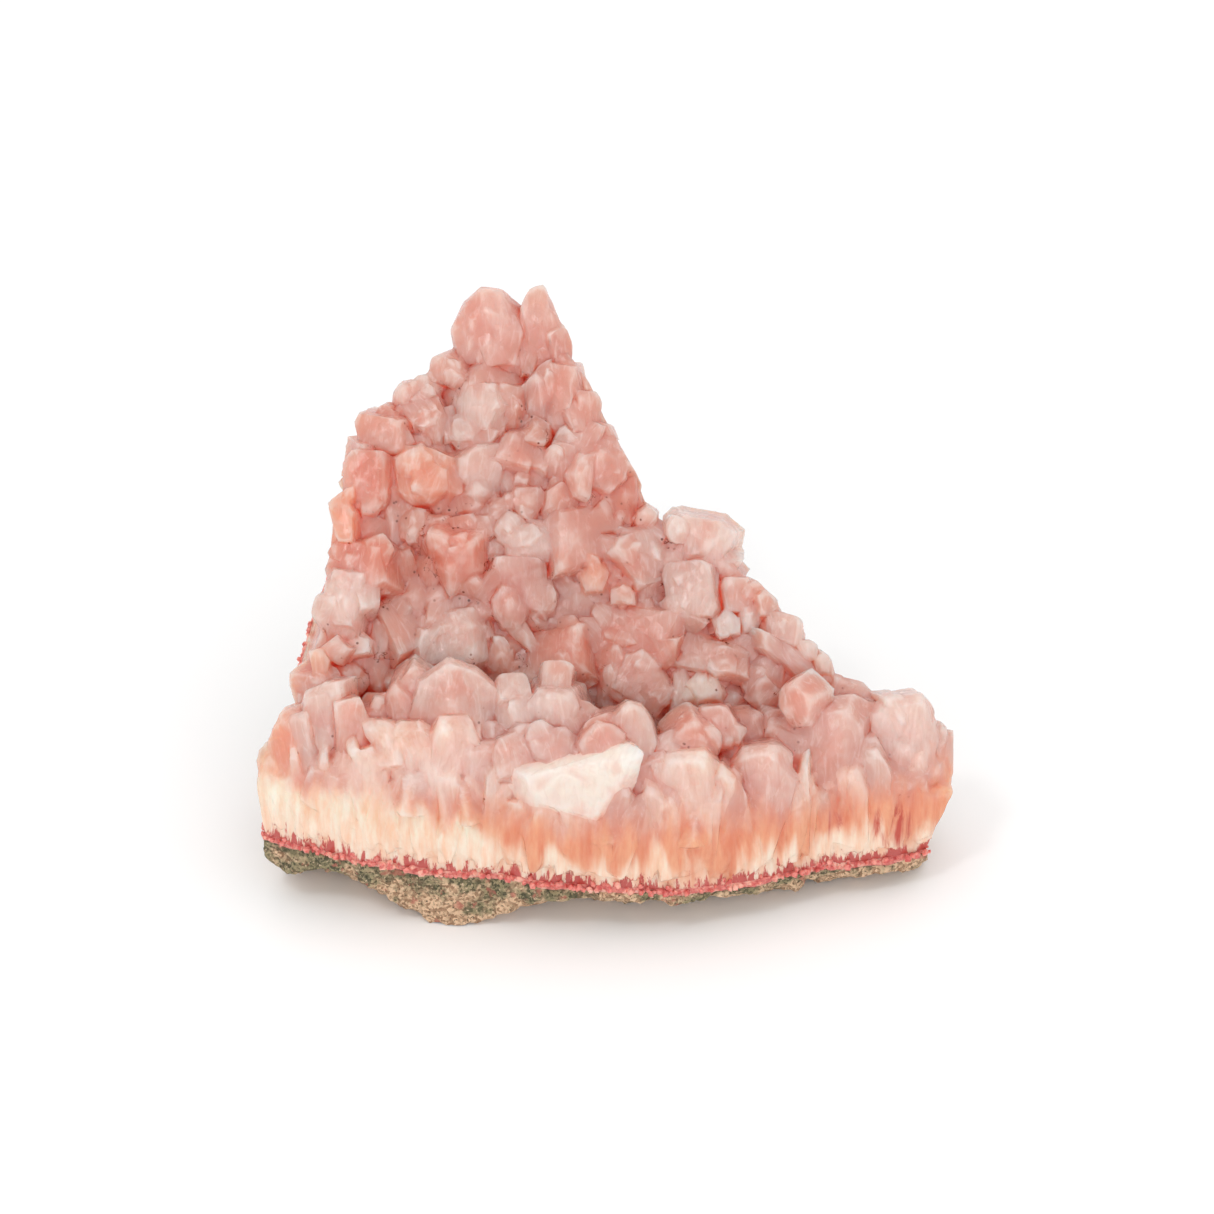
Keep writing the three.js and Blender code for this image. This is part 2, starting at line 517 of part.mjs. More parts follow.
// ---- The crystals ----
const front = FRONT.map(standing);
const lip = LIP.map((entry) => grown(entry, lipPoint(entry)));
const wall = WALL.map((entry) => grown(entry, wallPoint(entry)));

// Columns of the fibrous band, standing in the broken front.
function bandColumns() {
  const next = stream(771);
  const columns = [];
  for (let u = -45; u < 44; u += BAND.step) {
    const height = BAND.height + 3 * (next() - 0.5);
    const v = frontV(u) + 1.1 + height / 2;
    const step = 0.6 * next() - 0.6;
    const yaw = 24 * (next() - 0.5);
    const entry = [u, v, BAND.width, height, step, yaw, -33, 0, 'shaft', 4];
    columns.push(grown(entry, lipPoint(entry)));
  }
  return columns;
}

// Small crystals on the crust's upper side, kept clear of the large ones.
function fillCrystals() {
  const next = stream(FILL.seed);
  const taken = [
    ...FRONT.map(([u, tip, width, step]) => [u, tip - width / 2, width, width, step]),
    ...LIP,
  ].map((entry) => [lipPoint(entry), entry]).concat([
    ...WALL.map((entry) => [wallPoint(entry), entry]),
  ]).map(([p, e]) => [p, (e[2] + e[3]) * 0.2]);
  const placed = [];
  for (let k = 0; k < FILL.tries; k += 1) {
    const i = 0.6 + next() * (COLUMNS - 1.2);
    const j = 0.3 + next() * (ROWS.length - 1.6);
    const size = FILL.small + (FILL.large - FILL.small) * next();
    const turn = [next(), next(), next(), next()];
    const a = Math.floor(i);
    const b = Math.floor(j);
    const root = grid[b][a].clone().lerp(grid[b][a + 1], i - a);
    root.lerp(grid[b + 1][a].clone().lerp(grid[b + 1][a + 1], i - a), j - b);
    const way = growth(root.x, root.y);
    const point = root.clone().addScaledVector(way, along(CRUST_DEPTH, root.y) + 1.4 * turn[0]);
    const clear = taken.every(([p, r]) => p.distanceTo(point) > r + size * 0.45);
    const apart = placed.every((p) => p.distanceTo(point) > FILL.apart);
    if (!clear || !apart) continue;
    placed.push(point);
    const yaw = THREE.MathUtils.radToDeg(Math.atan2(way.x, way.z)) + 40 * (turn[1] - 0.5);
    const pitch = THREE.MathUtils.radToDeg(Math.asin(way.y)) * 0.8 + 30 * (turn[2] - 0.5);
    const outline = ['coffin', 'wedge', 'blade'][k % 3];
    const roll = 80 * (turn[3] - 0.5);
    placed[placed.length - 1].body = crystal(
      point, size, size * (0.8 + 0.5 * turn[1]), yaw, pitch, roll, outline, FILL.depth,
    );
  }
  return placed.map((p) => p.body);
}

const all = [...front, ...lip, ...wall, ...bandColumns(), ...fillCrystals()];
while (all.length > 1) all.push(all.shift().add(all.shift()));
crust = crust.add(all[0]);

// Nothing of the crust reaches below its underside.
const wide = widened(grid, 9);
const under = moved(wide, (p) => p.clone().addScaledVector(outward(p.x, p.y), -24));
crust = crust.subtract(slabBetween(under, wide, 0)).subtract(ground);

// The largest piece of a body, without closed hollows or loose chips.
function largest(body) {
  return body.decompose().reduce((a, b) => (b.volume() > a.volume() ? b : a));
}

// A body's mesh as corners and triangles, with edges shorter than reach drawn together
// wherever the surface stays one clean skin that doesn't fold over.
function drawnTogether(body, reach) {
  const { vertProperties, triVerts } = body.getMesh();
  const points = [];
  for (let k = 0; k < vertProperties.length; k += 3) {
    points.push(new THREE.Vector3().fromArray(vertProperties, k));
  }
  const faces = [];
  const around = points.map(() => new Set());
  for (let k = 0; k < triVerts.length; k += 3) {
    const face = Array.from(triVerts.slice(k, k + 3));
    face.forEach((corner) => around[corner].add(faces.length));
    faces.push(face);
  }
  const neighbours = (a) => new Set([...around[a]].flatMap((f) => faces[f]).filter((c) => c !== a));
  const normal = ([a, b, c], swap, place) => {
    const [p, q, r] = [a, b, c].map((corner) => (swap.includes(corner) ? place : points[corner]));
    return q.clone().sub(p).cross(r.clone().sub(p));
  };
  const folds = (a, b, place) => [...new Set([...around[a], ...around[b]])].some((f) => {
    const face = faces[f];
    if (face.includes(a) && face.includes(b)) return false;
    const before = normal(face, [], place);
    const after = normal(face, [a, b], place);
    return after.length() < 0.004 || (before.length() > 0.004 && before.angleTo(after) > 0.7);
  });
  const join = (a, b) => {
    const shared = [...neighbours(a)].filter((c) => around[b].size && neighbours(b).has(c));
    if (shared.length !== 2) return false;
    const middle = points[a].clone().lerp(points[b], 0.5);
    const place = [points[a], points[b], middle].find((p) => !folds(a, b, p));
    if (!place) return false;
    points[a] = place.clone();
    [...around[b]].forEach((f) => {
      if (faces[f].includes(a)) {
        faces[f].forEach((c) => around[c].delete(f));
        faces[f] = [];
      } else {
        faces[f] = faces[f].map((c) => (c === b ? a : c));
        around[a].add(f);
      }
    });
    around[b].clear();
    return true;
  };
  for (let pass = 0; pass < 4; pass += 1) {
    const short = faces
      .flatMap(([a, b, c]) => (a === undefined ? [] : [[a, b], [b, c], [c, a]]))
      .filter(([a, b]) => a < b && points[a].distanceTo(points[b]) < reach)
      .sort((x, y) => points[x[0]].distanceTo(points[x[1]]) - points[y[0]].distanceTo(points[y[1]]));
    short.forEach(([a, b]) => {
      const linked = around[a].size && around[b].size && neighbours(a).has(b);
      if (linked && points[a].distanceTo(points[b]) < reach) join(a, b);
    });
  }
  return { points, faces: faces.filter((face) => face.length) };
}

// ---- The named parts ----
function named(body, name, color, roughness) {
  const { points, faces } = drawnTogether(largest(body), REACH);
  const geometry = new THREE.BufferGeometry().setFromPoints(points);
  geometry.setIndex(faces.flat());
  geometry.computeVertexNormals();
  const material = new THREE.MeshStandardMaterial({ color, roughness, flatShading: true });
  const part = new THREE.Mesh(geometry, material);
  part.name = name;
  return part;
}

const cluster = new THREE.Group();
cluster.name = 'heulandite_cluster';
cluster.add(named(matrix, 'matrix', 0x55603f, 0.95));
cluster.add(named(seam, 'red_seam', 0x8c2f22, 0.85));
cluster.add(named(crust, 'heulandite_crust', 0xe9b3a0, 0.45));

export default cluster;
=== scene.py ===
# Heulandite cluster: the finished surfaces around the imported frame.
#
# The frame's three nodes are replaced by finer bodies on the same layout, worked out from
# the same driving dimensions: granular green rock, a thin dark red seam, and the crust,
# which is a fibrous cream band with every crystal standing on it. Sizes are in millimetres
# on the slope that the crystals face (u right, v up the slope, w out of it), and in metres
# in the row frame once a mesh is made.
import json
import math
from itertools import combinations

import bpy
import numpy as np
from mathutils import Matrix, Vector
from mathutils.bvhtree import BVHTree

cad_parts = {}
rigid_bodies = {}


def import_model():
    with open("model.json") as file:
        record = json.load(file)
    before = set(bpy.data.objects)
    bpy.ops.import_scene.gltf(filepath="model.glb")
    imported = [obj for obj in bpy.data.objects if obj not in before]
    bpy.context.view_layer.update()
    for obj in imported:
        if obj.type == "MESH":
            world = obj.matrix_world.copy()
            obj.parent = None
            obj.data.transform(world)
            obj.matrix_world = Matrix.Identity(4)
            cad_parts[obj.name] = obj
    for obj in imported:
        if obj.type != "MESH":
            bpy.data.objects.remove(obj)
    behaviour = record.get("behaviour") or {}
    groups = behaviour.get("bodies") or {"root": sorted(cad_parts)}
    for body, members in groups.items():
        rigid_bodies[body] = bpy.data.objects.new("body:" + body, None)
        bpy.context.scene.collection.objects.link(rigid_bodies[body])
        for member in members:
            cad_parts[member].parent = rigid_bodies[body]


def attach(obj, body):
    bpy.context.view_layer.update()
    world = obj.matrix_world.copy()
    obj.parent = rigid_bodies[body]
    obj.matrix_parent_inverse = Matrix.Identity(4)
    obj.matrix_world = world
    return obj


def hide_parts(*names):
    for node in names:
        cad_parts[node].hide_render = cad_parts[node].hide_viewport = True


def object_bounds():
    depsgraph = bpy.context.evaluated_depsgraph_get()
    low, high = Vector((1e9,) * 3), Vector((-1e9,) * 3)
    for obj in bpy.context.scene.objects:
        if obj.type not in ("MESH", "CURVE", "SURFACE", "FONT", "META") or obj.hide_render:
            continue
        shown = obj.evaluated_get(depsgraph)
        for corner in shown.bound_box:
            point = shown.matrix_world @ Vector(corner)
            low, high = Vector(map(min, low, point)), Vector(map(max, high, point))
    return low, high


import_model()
CAD_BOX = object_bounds()

# ---- Driving dimensions, as in the frame ----
MM = 0.001
LEAN = math.radians(35)  # how far back the slope leans
SIN, COS = math.sin(LEAN), math.cos(LEAN)
MIDDLE_BACK = 30  # the origin, behind the foremost edge
FLOOR_HEIGHT = 8.1  # the crust's underside over the table, in the middle
FLOOR_FALL = 0.055  # its fall to the right
WALL_OUT = -14  # the wall's underside, out of the slope
WALL_FALL = 0.087  # its fall up the slope
ARM_CURL = 7  # how far the left arm curls forwards
BEND = 4  # the soft bend between the floor and the wall
GAP = 0.3  # between the frame's solids
SEAM_DEPTH = 0.9 * 0.55  # the seam's thickness in the frame, and the share of it that shows
LEAST_ROCK = 0.8
ROCK_TAPER = 0.3  # how far the rock draws in towards its back
ROCK_INSET = 0.055  # how far it stays inside the crust up the left arm, of the crust's width
HALF_WIDTH = 48

# ---- How fine the bodies are ----
COLUMNS = 20  # the frame's own grid over the underside, with ROWS
FINE_COLUMNS = 76
ROCK_COLUMNS = 100
ROW_STEPS = 4
CRUST_EDGE = 1.25
HIDDEN_EDGE = 6
SEAM_EDGE = 0.8
ROCK_EDGE = 1.5
ROCK_FRONT_EDGE = 0.6
MOST_SPLITS = 12
HOLLOW_REACH = 9  # how far around a point other crystals close it in
HOLLOW_RAYS = 26

# ---- How the crystals grow ----
SPREAD = 1.08  # the lip's crystals against their listed size
WALL_SPREAD = 1.2  # the wall's crystals against theirs
FLARE = 0.3  # how far a crystal's sides spread towards its root
SOLITARY = 3.6  # a smaller crystal carries no others
LARGEST_SHIFT = 2.5  # a crystal that needs more to come within the cluster's reach is left out
LEAST_RISE = 0.8  # of a wall crystal's face over the ground
FRONT_FOOT = 1.2  # the front's crystals start this far up the slope from the seam
FILLED_TO = 71  # small crystals fill the gaps up to here
SOFTENING = 0.2  # how much the sharp edges are smoothed
TONE_SPREAD = 8  # rounds of blending between neighbouring crystals' colours
TONE_BLEND = 0.75

# ---- Stage, light and camera ----
FLOOR_SIZE = 3.0
LIGHT_AIM = (0, 0, 0.025)
LIGHTS = [  # name, place and size in metres, power in watts
    ("key", (-0.3, -0.4, 0.8), 0.16, 0.9),
    ("front", (0.1, -1.0, 0.5), 0.8, 2.0),
    ("overhead", (0, 0.1, 2.0), 2.5, 5.0),
]
SKY_STRENGTH = 0.9
PICTURE_MIDDLE = (0.0, 45.2, 0.0)  # on the slope
CAMERA_DISTANCE = 1.0
CAMERA_LENS = 211.8

# Front edge in plan (x, y), its lower outline (u, v), and the sheets' ends (v, u).
FRONT_EDGE = [
    (-48, 8), (-43, 5.8), (-35, 3.2), (-28, 2), (-23, 1), (-15, 1.1), (-10, -0.3), (0, -1), (10, -0.8),
    (20, 1.7), (30, 6.4), (36, 7.5), (40, 8.9), (46, 11.5),
]
LOWER_EDGE = [
    (-48, 10.5), (-46, 8.3), (-44, 7.5), (-42, 8.5), (-40, 8.9), (-35, 7.3), (-30, 5), (-27, 3), (-24.5, 0.6),
    (-22.5, 0), (-18, 0.9), (-14, 2.5), (-10, 3.6), (-6.5, 4.4), (-2.5, 4.8), (4.5, 4.2), (12, 4.1),
    (15.5, 4.9), (20.5, 5.2), (26.5, 5.8), (28, 6.9), (36, 7.5), (40, 8), (43, 8.4), (45, 9.5), (46, 10.8),
]
ROWS = [7.5, 11, 14.5, 18.5, 23.5, 30, 37, 45, 53, 61, 70, 79]  # v of the grid's rows
LEFT_END = [
    (8, -47.8), (12.5, -48.2), (20, -46.6), (25, -45.2), (30, -43.6), (37.5, -43.2), (43.5, -41.5),
    (47.5, -39.9), (53, -38.2), (60, -35.9), (65, -35.2), (68, -32.8), (74, -24.6), (80, -19.8),
]
RIGHT_END = [
    (8, 44.8), (22, 45.2), (26, 39.6), (31, 33), (36, 28), (41, 23.5), (48, 17.5), (52, 10), (58, 3.5),
    (65, -0.5), (73, -4.5), (80, -9),
]
# By v: the crust's depth, the way it grows (degrees up from straight out of the slope), how far
# the ground between the crystals stands out of the wall, and the rock's depth.
CRUST_DEPTH = [(7, 11.5), (11, 13), (15, 12), (19, 11.5), (24, 11), (30, 11.2), (45, 11), (60, 10), (80, 8)]
GROWTH = [(7, 68), (11, 60), (16, 55), (25, 35), (35, 8), (60, 8), (80, 45)]
GROUND = [(24, 6), (29.4, 7.7), (34, 10), (38.5, 11), (61, 10.1), (74, 8.4), (86, 6.2), (92, 4.5)]
ROCK_DEPTH = [(17, 12), (24, 19), (30, 16), (37, 12), (45, 9.5), (61, 6), (80, 4)]

# How far the crystals reach to the left and right: v, then u on either side.
REACH = [
    (8, -46, 40), (12, -48.6, 46.2), (20, -47.9, 48), (28, -45.6, 47.4), (32, -45, 43.8), (36, -44.8, 32.5),
    (44, -43.1, 26), (48, -41.6, 23), (56, -39.5, 18.6), (59, -37.8, 6), (64, -36.8, 4.2), (72, -34.2, -0.3),
    (76, -29.4, -2.7), (80, -23, -4.5), (84, -22.3, -5.7), (88, -20.6, -7.6), (91, -18.5, -9.6),
]

# Crystal faces, as outlines in a square from -1 to 1.
OUTLINES = {
    "coffin": [(-0.55, -1), (0.5, -1), (1, 0.15), (0.6, 1), (-0.65, 1), (-1, 0.05)],
    "block": [(-0.9, -1), (0.8, -0.95), (1, -0.7), (0.95, 0.8), (0.6, 1), (-0.85, 0.95), (-1, 0.6)],
    "arch": [(-0.9, -1), (0.9, -1), (1, 0.25), (0.6, 0.85), (-0.05, 1), (-0.65, 0.8), (-1, 0.2)],
    "egg": [(-0.45, -0.95), (0.5, -1), (1, -0.35), (0.9, 0.5), (0.3, 1), (-0.45, 0.95), (-1, 0.3),
            (-0.9, -0.5)],
    "wedge": [(-0.9, -0.9), (0.9, -1), (1, 0.3), (-0.1, 1), (-1, 0.45)],
    "spear": [(-0.15, -1), (0.85, -0.2), (0.7, 1), (-0.7, 0.95), (-0.95, 0)],
    "blade": [(-0.6, -1), (0.7, -0.9), (1, 0.2), (0.3, 1), (-1, 0.7)],
    "fan": [(-0.55, -1), (0.55, -1), (0.9, 0.1), (1, 0.72), (0.55, 1), (-0.6, 0.97), (-1, 0.68)],
    "dome": [(-0.8, -1), (0.8, -1), (1, -0.2), (0.85, 0.45), (0.35, 0.93), (-0.2, 1), (-0.75, 0.6),
             (-1, -0.1)],
    "spire": [(-0.9, -1), (1, -1), (0.95, -0.3), (0.4, 0.7), (0.05, 1), (-0.55, 0.95), (-0.85, 0.5)],
    "shaft": [(-0.65, -1), (0.6, -1), (1, 0.55), (0.45, 1), (-0.75, 0.93)],
    "slab": [(-1, 0.3), (-0.95, -0.85), (0.3, -1), (0.85, -0.2), (1, 0.85), (0.8, 1)],
}

# A crystal's tone: p pink, g greyish, m mauve, s salmon, o orange, c cream, w pearly white, a painted sheen
# of reflected light.
TONES = {
    "p": (211, 152, 137), "g": (208, 166, 154), "m": (203, 142, 129), "s": (212, 135, 115),
    "o": (226, 153, 127), "c": (238, 198, 180), "w": (252, 224, 212),
}

# Where a painted orange-red glow stands for light shining through, and where the crystals are
# frosted white: u, v, reach, strength.
PAINTED_GLOWS = [
    (-22, 57.5, 5, 1), (-25.5, 49, 4, 0.7), (-17, 46.5, 3, 0.6), (-32.5, 35, 3.5, 0.8), (2.5, 60, 4, 0.8),
    (-11, 66, 3.5, 0.8), (1.5, 50, 3, 0.9), (40, 14.5, 4, 1.1), (43, 19, 2.5, 0.6), (33, 15, 4.5, 0.6),
    (20, 14, 5, 0.5), (-14.5, 79, 2.5, 0.6), (0, 40, 6, 0.3), (-30, 63, 5, 0.4), (-36, 40, 4, 0.4),
    (3, 13, 4, 0.35), (-12, 12, 4, 0.3), (-29, 17, 3, 0.35), (-33, 57, 5, 0.35), (14, 30, 4, 0.4),
]
FROSTS = [
    (-24, 22, 3.5, 1), (10, 57, 4.5, 0.7), (17, 53, 4.5, 0.8), (-36.5, 46, 4, 0.8), (41, 29, 6, 0.8),
    (-38, 31, 4.5, 0.6), (-10, 31, 5, 0.6), (-20, 25, 5, 0.8), (-19, 73.5, 4, 0.5), (9, 24, 3.5, 0.6),
    (24, 22, 3.5, 0.6), (-17, 65, 4, 0.5), (-34, 22, 3, 0.7), (14, 35, 3.5, 0.6), (17.5, 43, 3, 0.8),
    (-22, 41, 5, 0.5), (28, 39, 4, 0.5), (-33, 40, 3, 0.6), (-10, 56, 4, 0.5), (-17, 86, 5, 0.2),
    (30, 29, 5, 0.3), (12, 47, 4, 0.5), (-40, 16, 6, 0.75), (-31, 17, 6, 0.7), (-20, 13, 4, 0.4),
    (12, 12, 4, 0.4),
]

# Crystals standing in the broken front: u, v of the tip, width, step back of the tip,
# yaw, roll (degrees), outline, length, tone.
FRONT = [
    (-45.6, 21, 3.6, 1.8, -30, 3, "shaft", 6, "c"),
    (-43.2, 31, 5.6, 4.2, -16, 2, "fan", 8, "o"),
    (-39.3, 34.2, 6.6, 6.8, -8, 2, "fan", 9, "g"),
    (-35.2, 33, 5.2, 6.6, 12, 5, "shaft", 8, "s"),
    (-33.3, 26.4, 4.2, 2.6, -4, 0, "shaft", 7, "c"),
    (-29.6, 22.6, 5.2, 2, -14, 0, "fan", 7, "c"),
    (-26.5, 29.6, 6.2, 4.4, -10, 4, "fan", 8, "c"),
    (-21.7, 29.8, 6.2, 4.6, 12, -3, "fan", 8, "c"),
    (-17, 27.2, 7, 3.6, 4, 0, "fan", 8, "s"),
    (-12.8, 18, 4.6, 0.2, -10, 0, "shaft", 6, "c"),
    (-8.6, 17.4, 5, -0.1, 8, 0, "shaft", 6, "c"),
    (-3.8, 17.8, 5.6, -0.1, -6, 0, "shaft", 6, "c"),
    (1.2, 20.5, 5.2, 0.5, 8, 0, "shaft", 6, "p"),
    (5.8, 25, 5.8, 4.4, 8, 0, "fan", 8, "s"),
    (11.6, 24.6, 8, 2.6, -5, 2, "fan", 8, "c"),
    (16.6, 22, 5, 2.2, 12, 0, "shaft", 7, "p"),
    (20.8, 25.6, 8, 3.6, -6, -3, "fan", 8, "p"),
    (25, 21.6, 5.2, 2, 12, 4, "shaft", 7, "c"),
    (30.6, 32.2, 12.2, 6, -10, -2, "fan", 10, "p"),
    (36.8, 26, 5.4, 3, -10, 0, "shaft", 7, "g"),
    (40.8, 32.8, 9.4, 6, 6, -2, "fan", 10, "g"),
    (45.3, 28.8, 5.4, 4.8, 24, -1, "fan", 8, "g"),
]

# Crystals on the front lip: u, v, width, height, step back from the front edge, yaw, pitch,
# roll, outline, length, tone.
LIP = [
    (-31, 29.6, 4.8, 5.4, 8, 6, 0, -10, "wedge", 7, "p"),
    (-28.8, 28.4, 7, 14, 7.2, -12, -6, 3, "arch", 9, "p"),
    (-20.6, 30.2, 15, 14.6, 8, 4, -8, -2, "dome", 9, "g"),
    (-12.2, 30.4, 8, 9.6, 9, -10, -4, 6, "egg", 9, "g"),
    (-7.4, 30.6, 8.6, 9.6, 9, 4, -2, -4, "arch", 9, "g"),
    (-31.2, 26.2, 5.4, 7.4, 3.4, -8, -4, 4, "arch", 7, "c"),
    (-4, 28.6, 4.6, 6.4, 8.4, 8, 4, 10, "wedge", 7, "p"),
    (-2.8, 29.8, 5.8, 6.4, 10.2, 10, 2, -4, "wedge", 7, "p"),
    # The slab's pearly white tone paints the sheen of the light it reflects.
    (-4.2, 20.6, 18, 9.8, 0.6, -3, -18, 0, "slab", 6.5, "w"),
    (3.4, 27.2, 7.4, 9.6, 6.2, 4, -8, -3, "dome", 8, "g"),
    (-0.6, 27.8, 6.4, 7.4, 6.8, -10, -2, 6, "egg", 8, "p"),
    (8.6, 26, 5.4, 5.6, 7, 8, 6, -6, "wedge", 7, "m"),
    (12.6, 26.4, 7, 6.4, 6.6, 6, -4, -4, "arch", 7, "p"),
    (15.4, 28.8, 6.6, 5.8, 9.4, -6, 18, 6, "coffin", 7, "m"),
    (17.8, 24.4, 5.4, 6, 8, -6, 0, 0, "wedge", 7, "p"),
    (36, 29, 6, 7, 8, 4, -4, 0, "coffin", 8, "g"),
    (-15.2, 27, 5, 6, 6.5, 6, -4, 0, "wedge", 7, "s"),
    (-12.4, 25.2, 8.2, 6.4, 3.8, -8, 4, 6, "arch", 6, "p"),
    (-6.4, 26, 8.8, 6.4, 4.4, 6, 8, -4, "egg", 6, "m"),
    (-0.4, 26.4, 7.6, 6, 4.2, -4, 6, 5, "arch", 6, "p"),
    (28.4, 27.6, 7, 6.4, 9.5, -16, 14, 6, "block", 7, "m"),
    (23.8, 28.2, 6.2, 6, 10.5, 8, 20, -8, "coffin", 7, "m"),
    (33.4, 30.4, 6, 6, 10.5, -10, 16, 12, "wedge", 7, "m"),
    (19.4, 28.2, 7, 5.6, 11.5, 6, 18, 6, "block", 7, "m"),
]

